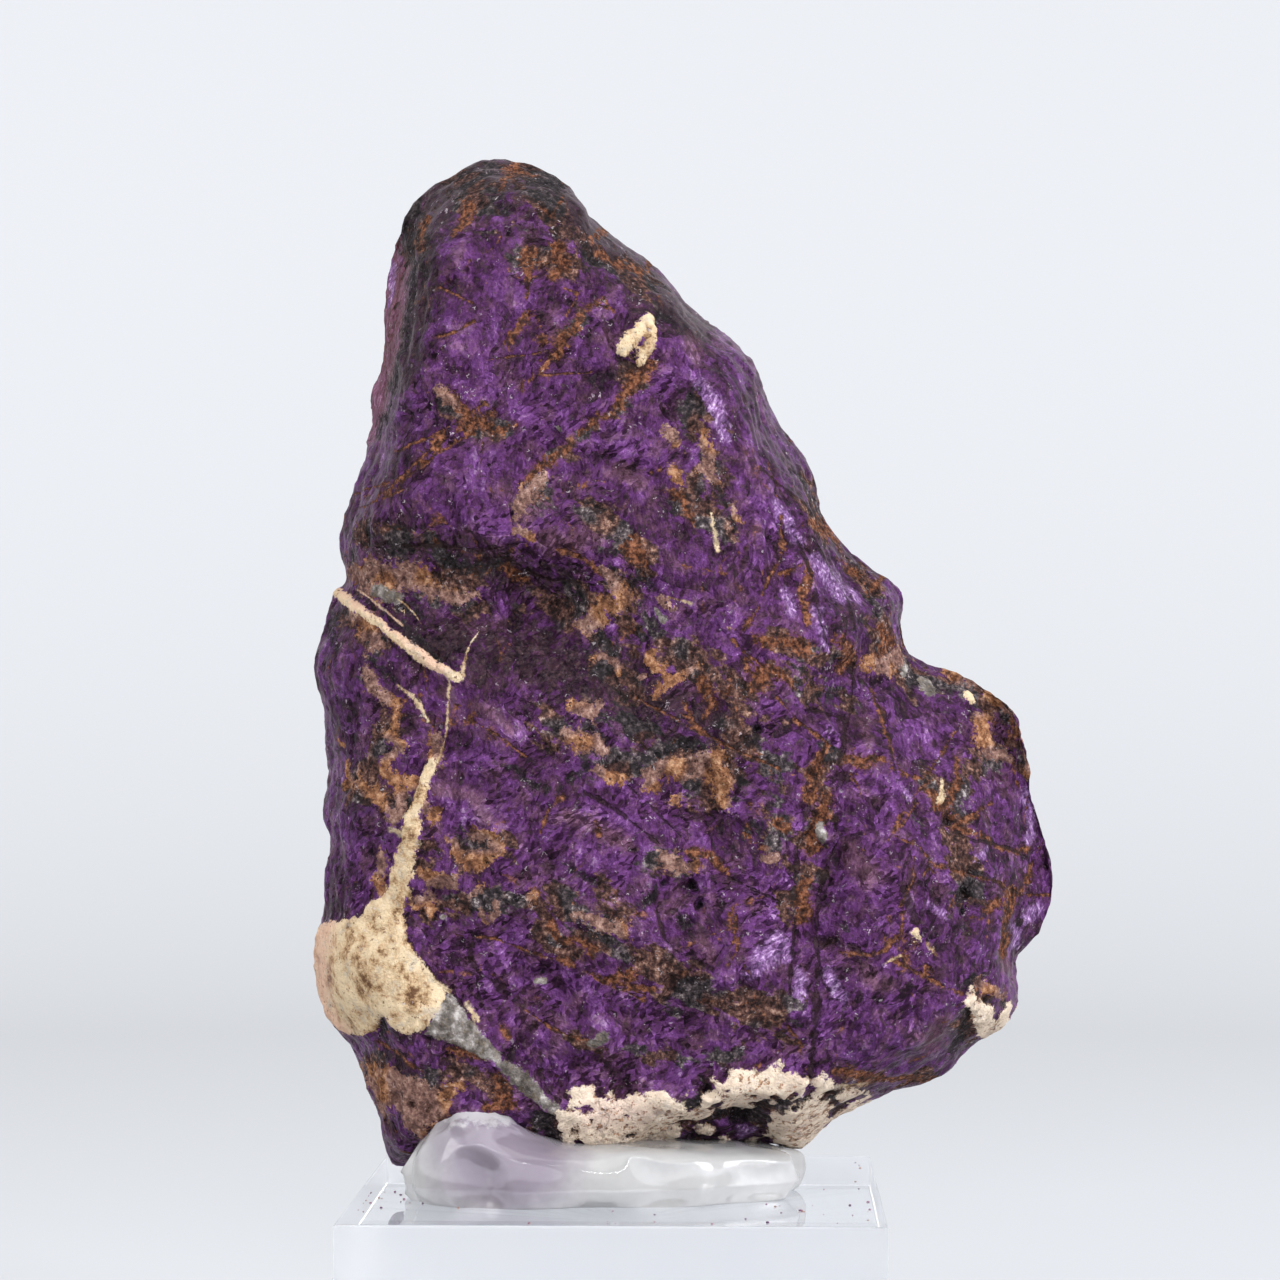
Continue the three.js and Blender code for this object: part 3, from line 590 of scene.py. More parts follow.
# Dark marks: black stains and cracks, with painted shadow under the overhanging ledge and along the rib, and
# painted shade beside the feldspar patch
darkStrokes = {
    "strip edge": [
        (398, 225, 4.4), (413, 262, 5), (408, 300, 5), (400, 345, 4.8), (389, 400, 4.6), (375, 436, 4.2),
    ],
    "long split a": [
        (854, 669, 2), (852, 704, 2.2), (847, 727, 2), (840, 756, 2.4), (836, 775, 2), (819, 804, 1.6),
    ],
    "long split b": [
        (842, 775, 2), (836, 814, 2.4), (834, 843, 2.6), (824, 868, 2.6), (817, 903, 3), (815, 935, 2),
    ],
    "long split c": [(828, 733, 2), (824, 756, 1.8), (805, 814, 2), (797, 853, 2), (793, 905, 1.6)],
    "lobe thread": [(815, 708, 1.6), (844, 717, 1.8)],
    "net a": [(865, 684, 1.6), (888, 723, 2), (896, 768, 1.6)],
    "net b": [(946, 826, 2.6), (973, 841, 2.2), (998, 843, 1.6), (1025, 855, 1.4)],
    "net c": [(973, 868, 2), (996, 882, 2.2), (1018, 893, 1.6)],
    "low thread a": [(587, 794, 1.6), (619, 812, 2), (641, 830, 1.6), (655, 841, 1.6)],
    "low thread b": [(632, 789, 1.6), (659, 814, 1.6), (678, 834, 1.4)],
    "low thread c": [(732, 880, 1.4), (755, 891, 1.6), (777, 900, 1.4)],
    "low thread d": [(657, 916, 2), (664, 939, 2.6), (678, 952, 2.4), (709, 968, 2)],
    "low thread e": [(795, 925, 1.6), (792, 960, 2), (790, 990, 1.4)],
    "upper thread a": [(400, 300, 1.2), (418, 278, 1.4), (432, 262, 1.2)],
    "upper thread b": [(500, 560, 2), (540, 578, 2), (590, 585, 1.6)],
    "upper thread c": [(380, 545, 2), (430, 548, 2.2), (480, 552, 2), (520, 545, 1.6)],
    "flank thread a": [(765, 470, 1.4), (800, 500, 1.6), (820, 520, 1.4)],
    "flank thread b": [(800, 540, 1.6), (812, 580, 1.8), (822, 620, 1.6), (833, 660, 1.6)],
    "flank thread c": [(818, 548, 1.2), (846, 600, 1.4), (856, 640, 1.4)],
    "left flank": [(337, 610, 7), (328, 630, 9), (334, 648, 5)],
    "rib shade": [(350, 591, 2.5), (380, 612, 3.5), (410, 632, 4.5), (436, 655, 4.5), (454, 669, 3)],
    # Painted shadow under the overhanging ledge
    "ledge a": [(440, 560, 8), (462, 566, 13), (484, 570, 14), (506, 564, 8)],
    "ledge b": [(398, 606, 6), (415, 612, 8), (428, 620, 6)],
    "ledge c": [(366, 569, 4), (376, 570, 3)],
    "left black a": [(372, 668, 5), (384, 672, 4), (394, 680, 3), (398, 691, 2.5)],
    "left brown eye": [(409, 688, 2), (414, 677, 4), (417, 670, 2)],
    "left hole": [(404, 811, 3), (408, 808, 2.5)],
    "left line": [(338, 787, 1.6), (355, 795, 1.8), (371, 806, 1.8), (387, 819, 1.6)],
    "middle left": [(503, 769, 4), (512, 766, 4), (528, 782, 7), (545, 790, 6)],
    "middle a": [(585, 650, 7), (600, 640, 10), (616, 650, 7)],
    "middle b": [(562, 605, 6), (577, 600, 7)],
    "middle c": [(627, 586, 6), (640, 575, 9), (652, 590, 4)],
    "middle d": [(568, 782, 5), (588, 771, 7), (585, 728, 7), (603, 733, 6)],
    "middle e": [(664, 750, 7), (682, 745, 10), (700, 742, 5)],
    "middle f": [(750, 743, 6), (756, 730, 6)],
    "middle g": [(740, 683, 4), (747, 692, 5)],
    "low a": [(563, 864, 5), (578, 872, 5), (592, 880, 6)],
    "low b": [(638, 905, 4), (650, 900, 7), (656, 886, 4)],
    "low c": [(675, 910, 5), (684, 922, 6), (696, 925, 4)],
    "low d": [(588, 930, 6), (610, 942, 6)],
    "face low": [(765, 830, 8), (750, 822, 6), (742, 838, 5)],
    "patch shade": [
        (407, 943, 2.5), (418, 961, 4), (432, 976, 4), (441, 987, 2.5), (453, 996, 2.5), (464, 1010, 2),
    ],
    "crack a": [
        (471, 944, 2.5), (468, 956, 3), (477, 973, 3), (490, 981, 3), (503, 990, 4), (520, 1000, 4),
    ],
    "crack b": [(476, 981, 1.6), (478, 996, 1.6)],
    "crack c": [
        (533, 1008, 3), (536, 1030, 3), (538, 1048, 2), (541, 1074, 3), (548, 1092, 3), (556, 1100, 3),
    ],
    "quartz hollow": [(380, 1010, 2.5), (383, 1022, 5), (381, 1032, 4)],
    "foot a": [(532, 1112, 7), (540, 1132, 8), (556, 1146, 7), (575, 1150, 5)],
    "foot b": [(548, 1118, 6), (562, 1120, 6)],
    "foot c": [(650, 1132, 5), (664, 1139, 5), (680, 1140, 3)],
    "foot d": [(703, 1078, 3), (706, 1092, 7), (702, 1108, 4)],
    "foot cave": [(702, 1128, 7), (722, 1116, 7), (745, 1110, 7), (766, 1105, 7), (788, 1103, 4)],
    "foot grey": [(598, 1104, 3), (604, 1114, 4), (600, 1130, 3)],
    "heel crack": [(828, 1091, 3), (842, 1092, 4), (858, 1092, 3), (838, 1102, 4), (832, 1114, 2.5)],
    "heel split": [(810, 1068, 2.5), (814, 1082, 2), (809, 1095, 2)],
    "lobe corner a": [(951, 1054, 5), (958, 1042, 9), (965, 1026, 8), (967, 1012, 5)],
    "lobe corner b": [(962, 985, 6), (976, 984, 8), (990, 983, 5)],
    "split": [(815, 938, 2.5), (818, 960, 3), (817, 990, 2.8), (815, 1020, 2.8), (811, 1062, 2.6)],
    "split right": [(819, 938, 4), (840, 942, 3), (858, 949, 3.5), (864, 957, 2)],
    "lobe smudge": [(843, 925, 5), (850, 928, 3)],
    "top a": [(528, 177, 7), (547, 181, 12), (563, 187, 9)],
    "top b": [(499, 205, 7), (508, 216, 4)],
    "left edge a": [(408, 214, 7), (404, 240, 7), (411, 262, 4)],
    "left edge b": [(425, 270, 7), (418, 285, 6)],
    "top grey": [(583, 247, 6), (600, 262, 5), (586, 270, 5)],
    "patch black": [(645, 337, 4.5), (658, 312, 6), (668, 318, 6)],
    "patch black low": [(619, 359, 3), (636, 366, 4)],
    "face dark a": [(690, 396, 7), (701, 386, 5)],
    "face dark b": [(588, 498, 7), (603, 510, 6)],
    "face dark c": [(698, 452, 4), (720, 494, 6), (735, 530, 6)],
    "flank dark a": [(790, 470, 5), (800, 475, 5)],
    "flank dark b": [(862, 622, 6), (876, 612, 5)],
    "flank dark c": [(825, 695, 7), (838, 690, 6)],
    "lobe dark a": [(868, 700, 3), (880, 700, 4)],
    "lobe dark b": [(905, 890, 4), (915, 920, 4)],
}
crumblyStrokes = {
    "belt left": [(362, 575, 22), (410, 590, 26), (470, 575, 24)],
    "belt a": [(520, 600, 16), (580, 610, 38), (640, 620, 34), (690, 660, 34)],
    "belt b": [(690, 660, 34), (760, 690, 46), (820, 690, 30)],
    "belt c": [(545, 715, 26), (600, 745, 36), (660, 770, 44), (735, 775, 34)],
    "belt d": [(640, 560, 22), (610, 575, 24)],
    "belt e": [(600, 660, 28), (640, 690, 18)],
    "belt f": [(740, 740, 26), (780, 790, 26), (775, 850, 20)],
    "shoulder": [(770, 650, 18), (850, 655, 26), (905, 655, 22)],
    "lobe rim": [(905, 672, 20), (960, 690, 24), (1010, 725, 22), (1028, 775, 9)],
    "lobe inner": [(975, 720, 16), (985, 750, 20), (945, 800, 22), (925, 770, 12)],
    "lobe holes": [(960, 820, 20), (965, 890, 22), (965, 920, 14)],
    "fissure": [(832, 745, 12), (815, 810, 22), (803, 870, 22), (800, 920, 16)],
    "lower a": [(540, 930, 22), (590, 950, 22), (640, 960, 24), (700, 990, 44), (775, 1020, 34)],
    "lower b": [(660, 860, 20), (700, 860, 22), (760, 870, 14)],
    "lower c": [(560, 905, 22), (620, 915, 24)],
    "lower d": [(575, 1045, 12), (640, 1050, 12), (700, 1060, 14), (740, 1050, 12)],
    "left a": [(378, 690, 20), (385, 740, 20), (360, 790, 24), (395, 800, 20)],
    "left b": [(425, 865, 24), (470, 850, 26), (500, 845, 18)],
    "left c": [(430, 910, 20), (495, 905, 20), (535, 900, 12)],
    "left d": [(350, 620, 16), (372, 645, 16)],
    "tip": [(375, 1070, 22), (410, 1095, 30), (470, 1075, 24), (500, 1095, 18)],
    "bottom": [(545, 1125, 20), (640, 1135, 14), (700, 1110, 22), (760, 1108, 18), (850, 1095, 16)],
    "top a": [(470, 190, 34), (530, 190, 30), (560, 230, 24)],
    "top b": [(530, 262, 22), (600, 255, 24), (650, 285, 14)],
    "left edge": [(415, 210, 16), (412, 260, 10)],
    "face a": [(455, 405, 22), (505, 425, 14)],
    "face b": [(560, 345, 16), (580, 320, 10)],
    "face c": [(640, 380, 20), (610, 415, 10), (545, 465, 14), (530, 500, 20)],
    "face d": [(690, 400, 18), (705, 450, 28), (690, 500, 26), (725, 530, 14)],
    "face e": [(365, 530, 18), (400, 545, 20), (440, 555, 14)],
    "face f": [(590, 505, 18), (630, 545, 18)],
    "flank": [(800, 480, 8), (822, 525, 12), (860, 575, 14), (885, 625, 14)],
    "heel": [(880, 1078, 9), (935, 1075, 6)],
    "lobe corner": [(965, 1030, 16), (985, 985, 14)],
}
# Zones painted darker: painted shade under the overhanging ledge, on the crown, the upper left shoulder, the
# belt and the bottom corner, partly the stone's own sootier colour
shadeAndSootStrokes = {
    "crown": [(430, 200, 40), (480, 175, 48), (545, 185, 48), (590, 230, 36)],
    "right brow": [(590, 230, 36), (650, 290, 26), (700, 330, 18)],
    "left shoulder": [(410, 215, 34), (420, 290, 26), (400, 380, 18)],
    "ledge": [(380, 545, 22), (470, 560, 26), (560, 585, 20)],
    "belt": [(420, 640, 24), (520, 650, 40), (620, 690, 46), (720, 745, 34)],
    "corner": [(400, 1080, 26), (440, 1120, 18)],
}
rosyStrokes = {
    "upper rib": [(338, 584, 10), (400, 628, 11), (440, 666, 12)],
    "rim of the feldspar": [(326, 920, 14), (318, 960, 13), (322, 1010, 12), (345, 1035, 9)],
    "toe": [(590, 1110, 18), (640, 1108, 14)],
}
# Pits pushed into the face and painted dark as shade
holeSpots = {  # photo pixel across, down, radius in pixels, depth in millimetres
    "round hole": (962, 894, 9, 1.1),
    "low hole": (963, 912, 5, 0.7),
    "small hole": (973, 872, 4.5, 0.6),
    "slot hole": (949, 821, 6, 0.8),
    "black pit": (693, 886, 6, 0.9),
    "black pit low": (700, 905, 5, 0.8),
    "pit left": (663, 884, 4, 0.5),
    "pit right": (757, 729, 5, 0.5),
    "dot pit": (541, 973, 4.5, 0.5),
    "band pit": (487, 861, 4, 0.4),
    "cave": (738, 1114, 11, 0.9),
    "cave left": (708, 1090, 7, 0.6),
    "split top": (838, 941, 5, 0.5),
    "tip pit a": (412, 1106, 4, 0.4),
    "tip pit b": (428, 1110, 4, 0.4),
    "tip pit c": (388, 1098, 4, 0.3),
}
# Painted sheen: bright lavender streaks where the silky fibres catch the light
paintedSheenStrokes = {
    "face a": [(700, 384, 7), (716, 410, 9), (727, 438, 6)],
    "flank a": [(778, 505, 6), (790, 522, 6), (800, 540, 6)],
    "flank b": [(815, 562, 8), (831, 582, 11), (842, 600, 7)],
    "flank c": [(788, 590, 5), (794, 610, 6)],
    "flank d": [(818, 612, 7), (824, 632, 7), (829, 652, 4)],
    "flank e": [(850, 590, 5), (858, 604, 4)],
    "low a": [(750, 975, 7), (765, 958, 13), (780, 940, 11), (786, 960, 8)],
    "low b": [(830, 975, 8), (842, 998, 7)],
    "low c": [(800, 975, 7), (800, 1000, 7)],
    "lobe a": [(1017, 928, 5), (1013, 946, 4)],
    "lobe b": [(1022, 790, 5), (1032, 820, 6), (1026, 842, 6)],
    "lobe c": [(968, 866, 5), (984, 852, 5)],
    "lobe d": [(985, 757, 5), (978, 775, 5)],
    "lobe e": [(1036, 908, 7), (1026, 918, 5)],
    "lobe f": [(905, 790, 5), (912, 800, 5)],
    "lobe g": [(930, 905, 5), (948, 918, 5)],
    "left a": [(395, 252, 3), (394, 285, 4), (390, 300, 4)],
    "cave": [(740, 1131, 6), (750, 1128, 6)],
}
mauveStrokes = {
    "fork": [(447, 688, 9), (452, 702, 7), (448, 716, 3)],
    "fork right": [(472, 704, 8), (494, 716, 10), (508, 730, 7)],
    "face a": [(552, 540, 15), (572, 545, 14), (596, 535, 12)],
    "face b": [(520, 515, 10), (545, 500, 12)],
    "face c": [(690, 340, 9), (700, 360, 9)],
    "left a": [(440, 790, 8), (480, 800, 9), (485, 820, 8)],
    "low a": [(570, 815, 11), (600, 830, 11), (625, 845, 10)],
    "low b": [(560, 905, 9), (590, 915, 10), (620, 900, 10)],
    "low c": [(700, 945, 9), (712, 960, 7)],
    "lobe a": [(865, 975, 11), (885, 985, 11)],
    "lobe b": [(930, 1040, 14), (940, 1020, 12)],
    "lobe c": [(1003, 950, 7), (1006, 968, 6)],
    "lobe d": [(866, 720, 8), (870, 745, 7)],
    "lobe e": [(850, 850, 10), (870, 880, 14)],
    "upper": [(610, 470, 10), (640, 480, 10)],
    "left edge": [(388, 300, 6), (386, 340, 6), (378, 380, 5)],
}

stoneSetup = {
    "subdivisions": 2,
    "cageRounds": 3,
    "cageStep": 0.8,
    "warpWave": 1.1,  # how the markings' edges wander
    "warp": 0.16,
    "facets": [{"wave": 3.2, "tilt": 0.09, "step": 0.05}, {"wave": 1.3, "tilt": 0.05, "step": 0.03}],
    "facetCrispness": 24.0,
    "lumps": [{"wave": 3.4, "rise": 0.04}, {"wave": 1.5, "rise": 0.02}, {"wave": 0.55, "rise": 0.08}],
    "fibre": {"along": 1.6, "across": 0.5, "rise": 0.05, "lean": math.radians(-28)},
    "steps": {"along": 7.0, "across": 1.5, "rise": 0.09, "lean": math.radians(-30)},
    "crust": {"wave": 0.8, "rise": 0.14},
    "paleRise": 0.22,
    "paleFray": [{"wave": 1.3, "share": 0.9}, {"wave": 0.55, "share": 0.7}],
    "ribRise": 0.25,
    "tanRise": 0.06,
    "darkDrop": 0.14,
    "rustDrop": 0.06,
    "crumbRise": 0.24,
    "stripBack": 2.4,
    "stripOut": 0.45,
    "veins": {"scale": 0.21, "driftScale": 0.45, "drift": 0.15, "driftShifts": (4.2, 17.9, 31.4)},
    "clouds": (5.0, 1.6, 0.77),
    "calmRim": 0.6,
    "jags": {"wave": 0.9, "rise": 0.14},  # little broken corners along the rim
    "flankFrom": 0.75,
    "shown": (-0.30, 0.05),  # how far a face turns from the photo before its marks are gone
    "paleTatters": 0.35,
    "footTatters": 1.3,
    "paleCalm": 0.45,
}


focalPixels = cameraSetup["lens"] / cameraSetup["filmWidth"] * photoFrame["pixels"]


def photoSpots(points):
    # Where points in millimetres fall in the photo, in its pixels
    scale = focalPixels / (points[:, 1] + cameraSetup["away"])
    across = photoFrame["levelAcross"] + (points[:, 0] - cameraSetup["across"]) * scale
    down = photoFrame["levelDown"] - (points[:, 2] - blockTop - cameraSetup["aboveBlock"]) * scale
    return np.stack([across, down], axis=1)


def awayFrom(spots, start, line):
    # How far spots lie from a straight piece, and how far along it their nearest place is
    offset = spots - start
    share = np.clip(offset @ line / (line @ line), 0.0, 1.0)
    return np.hypot(*(offset - share[:, None] * line).T), share


def strokeField(spots, strokes):
    # 1 along the middle of a stroke, 0 at its edge, down to -1 outside
    field = np.full(len(spots), -1.0)
    for run in strokes.values():
        stops = np.array(run, float)
        for start, end in zip(stops[:-1], stops[1:]):
            away, share = awayFrom(spots, start[:2], end[:2] - start[:2])
            field = np.maximum(field, 1.0 - away / (start[2] + share * (end[2] - start[2])))
    return field


def thinLines(spots, strokes, reach=10.0):
    # Signed distance to the nearest line, in its half widths, and how near it is: crisp between mesh points
    nearest = np.full(len(spots), 1e9)
    side = np.full(len(spots), 9.0)
    for run in strokes.values():
        stops = np.array(run, float)
        for start, end in zip(stops[:-1], stops[1:]):
            line = end[:2] - start[:2]
            offset = spots - start[:2]
            away, share = awayFrom(spots, start[:2], line)
            across = (line[0] * offset[:, 1] - line[1] * offset[:, 0]) / math.hypot(*line)
            side = np.where(away < nearest, across / (start[2] + share * (end[2] - start[2])), side)
            nearest = np.minimum(nearest, away)
    return np.clip(side, -9.0, 9.0), np.clip(1.0 - nearest / reach, -1.0, 1.0)


def splitByWidth(strokes, thinnest=4.1):
    # Thin strokes are drawn as crisp lines, wide ones as ragged stains
    thin = {name: run for name, run in strokes.items() if max(stop[2] for stop in run) < thinnest}
    return thin, {name: run for name, run in strokes.items() if name not in thin}


def patchField(spots, patches, softness=7.0):
    # 1 well inside an outline, 0 on it, down to -1 outside
    field = np.full(len(spots), -1.0)
    for outline in patches.values():
        corners = np.array(outline, float)
        inside = np.zeros(len(spots), bool)
        nearest = np.full(len(spots), 1e9)
        for start, end in zip(corners, np.roll(corners, -1, axis=0)):
            line = end - start
            nearest = np.minimum(nearest, awayFrom(spots, start, line)[0])
            crosses = (start[1] > spots[:, 1]) != (end[1] > spots[:, 1])
            rise = np.where(crosses, end[1] - start[1], 1.0)
            inside ^= crosses & (spots[:, 0] < start[0] + (spots[:, 1] - start[1]) * line[0] / rise)
        field = np.maximum(field, np.clip(np.where(inside, nearest, -nearest) / softness, -1.0, 1.0))
    return field


def noiseField(points, wave, offset):
    shift = Vector((offset, 0.0, offset))
    return np.array([noise.noise(Vector(point) + shift) for point in points / wave])


def borderField(points, setup):
    # How far each point is from the nearest border between two large crystals
    borders = []
    for point in points:
        slow = Vector(point) * setup["driftScale"]
        drift = Vector([noise.noise(slow + Vector((shift, 0.0, -shift))) for shift in setup["driftShifts"]])
        away = noise.voronoi(Vector(point) * setup["scale"] + drift * setup["drift"])[0]
        borders.append(away[1] - away[0])
    return np.array(borders)


def facetField(points, wave, tilt, step, crispness, seed):
    # Flat fracture facets, each tilted its own way about its own centre
    rise = np.empty(len(points))
    for i, point in enumerate(points / wave):
        place = Vector(point) + Vector((seed, seed, seed))
        distances, centres = noise.voronoi(place)
        total = 0.0
        weights = 0.0
        for distance, centre in zip(distances[:3], centres[:3]):
            weight = math.exp((distances[0] - distance) * crispness)
            lean = noise.cell_vector(centre * 7.3) - Vector((0.5, 0.5, 0.5))
            height = (noise.cell(centre * 3.1) - 0.5) * 2.0 * step
            total += weight * (lean.dot(place - centre) * 2.0 * tilt * wave + height)
            weights += weight
        rise[i] = total / weights
    return rise


def stoneNormals(mesh):
    normals = np.empty(len(mesh.vertices) * 3)
    mesh.vertex_normals.foreach_get("vector", normals)
    return normals.reshape(-1, 3)


def meshPoints(mesh):
    points = np.empty(len(mesh.vertices) * 3)
    mesh.vertices.foreach_get("co", points)
    return points.reshape(-1, 3) / mm


def denseStone(setup):
    bm = bmesh.new()
    bm.from_mesh(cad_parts["purpurite_stone"].data)
    bmesh.ops.remove_doubles(bm, verts=bm.verts, dist=1e-6)
    coarse = addObject("rough_stone_cage", meshFromBmesh("rough_stone_cage", bm))
    finer = coarse.modifiers.new("finer", "SUBSURF")
    finer.levels = setup["subdivisions"]
    finer.render_levels = setup["subdivisions"]
    wanted = meshPoints(coarse.data)
    cage = wanted.copy()
    for _ in range(setup["cageRounds"]):  # subdividing pulls the corners in, so the cage is let out to match
        smooth = bpy.data.meshes.new_from_object(coarse.evaluated_get(bpy.context.evaluated_depsgraph_get()))
        cage += setup["cageStep"] * (wanted - meshPoints(smooth)[:len(wanted)])
        bpy.data.meshes.remove(smooth)
        coarse.data.vertices.foreach_set("co", (cage * mm).ravel())
        coarse.data.update()
        coarse.update_tag()
    dense = bpy.data.meshes.new_from_object(coarse.evaluated_get(bpy.context.evaluated_depsgraph_get()))
    bpy.data.objects.remove(coarse)
    dense.name = "purpurite_specimen"
    return dense


def hollowField(mesh, rise, rounds=10):
    # How far each point lies under the mean of its surroundings, in millimetres; the shader paints shade into
    # the hollows with it
    ends = np.empty(len(mesh.edges) * 2, np.int32)
    mesh.edges.foreach_get("vertices", ends)
    ends = ends.reshape(-1, 2)
    counts = np.bincount(ends.ravel(), minlength=len(rise)).astype(float)
    level = rise.copy()
    for _ in range(rounds):
        total = np.bincount(ends[:, 0], weights=level[ends[:, 1]], minlength=len(rise))
        total += np.bincount(ends[:, 1], weights=level[ends[:, 0]], minlength=len(rise))
        level = total / counts
    return level - rise


def writeMarks(mesh, name, fields):
    marks = mesh.attributes.new(name, "FLOAT_COLOR", "POINT")
    marks.data.foreach_set("color", np.stack(fields, axis=1).astype(np.float32).ravel())


def carveStone(setup):
    mesh = denseStone(setup)
    points = meshPoints(mesh)
    plainPoints = points.copy()
    normals = stoneNormals(mesh)
    triangles = sum(len(polygon.vertices) - 2 for polygon in mesh.polygons)
    print("stone mesh:", len(mesh.vertices), "points,", triangles, "triangles")
    pixelsPerMm = focalPixels / cameraSetup["away"]
    wander = np.stack([noiseField(points, setup["warpWave"], shift) for shift in (3.7, 9.1)], axis=1)
    plainSpots = photoSpots(points)
    spots = plainSpots + wander * 2.0 * setup["warp"] * pixelsPerMm
    steadySpots = plainSpots + wander * 0.5 * setup["warp"] * pixelsPerMm
    shown = smoothStep(*setup["shown"], -normals[:, 1])

    def shownField(field):
        # A field that falls to -1 on the side that the photo doesn't show
        return field * shown + shown - 1.0

    thinRust, wideRust = splitByWidth(rustStrokes)
    thinDark, wideDark = splitByWidth(darkStrokes)
    thinPale, widePale = splitByWidth(paleStrokes)
    tatters = sum(fray["share"] * noiseField(points, fray["wave"], 4.4) for fray in setup["paleFray"])
    feldspar = {"feldspar": palePatches["feldspar"]}
    foot = {name: outline for name, outline in palePatches.items() if name != "feldspar"}
    pale = np.maximum(strokeField(steadySpots, widePale), patchField(steadySpots, feldspar))
    footPale = np.maximum(strokeField(spots, raggedPale), patchField(spots, foot, 10.0))
    pale += setup["paleTatters"] * tatters * smoothStep(-1.0, -0.3, pale)
    footPale += setup["footTatters"] * tatters * smoothStep(-1.0, -0.2, footPale)
    pale = shownField(np.clip(np.maximum(pale, footPale), -1.0, 1.0))
    quartz = np.maximum(strokeField(steadySpots, quartzStrokes), patchField(steadySpots, quartzPatches))
    quartz = shownField(quartz)
    tan = shownField(np.maximum(strokeField(spots, tanStrokes), patchField(spots, tanPatches)))
    rust = shownField(strokeField(spots, wideRust))
    dark = shownField(strokeField(spots, wideDark))
    rustSide, rustNear = thinLines(steadySpots, thinRust)
    darkSide, darkNear = thinLines(steadySpots, thinDark)
    paleSide, paleNear = thinLines(steadySpots, thinPale)
    strip = smoothStep(-0.2, 0.9, patchField(steadySpots, rearStrip, 5.0))
    strip *= smoothStep(-0.8, -0.4, -normals[:, 1])
    paintedSheen = shownField(strokeField(spots, paintedSheenStrokes))
    mauve = shownField(strokeField(spots, mauveStrokes))
    crumbly = strokeField(spots, crumblyStrokes) * shown
    shadeAndSoot = shownField(strokeField(spots, shadeAndSootStrokes))
    rosy = shownField(strokeField(spots, rosyStrokes))
    # Faces turned sideways from the camera; the shader darkens these a little as painted shade and makes them
    # rougher
    flank = np.clip((setup["flankFrom"] - np.abs(normals[:, 1])) * 3.0, -1.0, 1.0)
    holes = np.zeros(len(points))
    for across, down, radius, depth in holeSpots.values():
        away = np.hypot(plainSpots[:, 0] - across, plainSpots[:, 1] - down) / radius
        holes = np.maximum(holes, depth * np.exp(-away ** 4) * shown)
    print("markings are placed")

    rise = np.zeros(len(points))
    for seed, facet in enumerate(setup["facets"]):
        rise += facetField(points, **facet, crispness=setup["facetCrispness"], seed=11.3 * (seed + 1))
    for layer, lump in enumerate(setup["lumps"]):
        rise += lump["rise"] * noiseField(points, lump["wave"], 5.3 * (layer + 1))
    for drawn, offset in ((setup["fibre"], 2.2), (setup["steps"], 6.1)):
        turned = points @ np.array(Matrix.Rotation(drawn["lean"], 3, "Y"))
        stretch = np.array([drawn["across"], drawn["across"], drawn["along"]])
        ridges = 0.5 - np.abs(noiseField(turned, stretch, offset)) * 2.0
        rise += drawn["rise"] * ridges
    crust = np.abs(noiseField(points, setup["crust"]["wave"], 8.8))
    tanShare = smoothStep(-0.15, 0.35, tan)
    paleShare = smoothStep(-0.20, 0.25, np.maximum(pale, quartz))
    rise *= 1.0 - setup["paleCalm"] * paleShare
    rise += tanShare * (setup["tanRise"] + setup["crust"]["rise"] * (0.45 - 2.0 * crust))
    rise += paleShare * setup["paleRise"]
    rib = shownField(strokeField(spots, {"rib": paleStrokes["rib"]}))
    rise += setup["ribRise"] * smoothStep(0.0, 0.8, rib)
    rise -= setup["darkDrop"] * smoothStep(-0.1, 0.7, dark) * (1.0 - paleShare)
    rise -= setup["rustDrop"] * smoothStep(-0.1, 0.6, rust) * (1.0 - tanShare)
    rise += setup["crumbRise"] * smoothStep(0.0, 0.6, crumbly) * (0.25 - crust) * (1.0 - paleShare)
    rim = smoothStep(0.8, 0.2, np.abs(normals[:, 1]))
    rise *= 1.0 - setup["calmRim"] * rim
    jags = np.abs(noiseField(points, setup["jags"]["wave"], 13.1))
    rise += rim * setup["jags"]["rise"] * (0.35 - 2.0 * jags)
    points += normals * rise[:, None]
    points[:, 0] -= setup["stripOut"] * strip
    points[:, 1] += holes + setup["stripBack"] * strip
    mauve = np.maximum(mauve, strip * 1.6 - 0.8)
    mesh.vertices.foreach_set("co", (points * mm).ravel())
    # The pits are painted dark as well: painted shade in the holes
    dark = np.maximum(dark, np.clip(holes / 0.35 - 0.6, -1.0, 1.0))
    writeMarks(mesh, "marksOne", [pale, tan, rust, dark])
    writeMarks(mesh, "marksTwo", [quartz, paintedSheen, mauve, crumbly])
    writeMarks(mesh, "thinMarks", [rustSide, shownField(rustNear), darkSide, shownField(darkNear)])
    # The hollow depth travels with the pale lines; the shader uses it to paint shade into the hollows
    writeMarks(mesh, "paleLinesHollowsAndStrip", [paleSide, shownField(paleNear), hollowField(mesh, rise), strip])
    clouds = [0.5 + 0.5 * noiseField(plainPoints, wave, 31.0) for wave in setup["clouds"]]
    writeMarks(mesh, "cloudMarks", [borderField(plainPoints, setup["veins"])] + clouds)
    writeMarks(mesh, "shadeMarks", [shadeAndSoot, np.clip(footPale, -1.0, 1.0), flank, rosy])
    mesh.update()
    setSmooth(mesh)
    print("stone surface is carved")
    return addObject("purpurite_specimen", mesh)


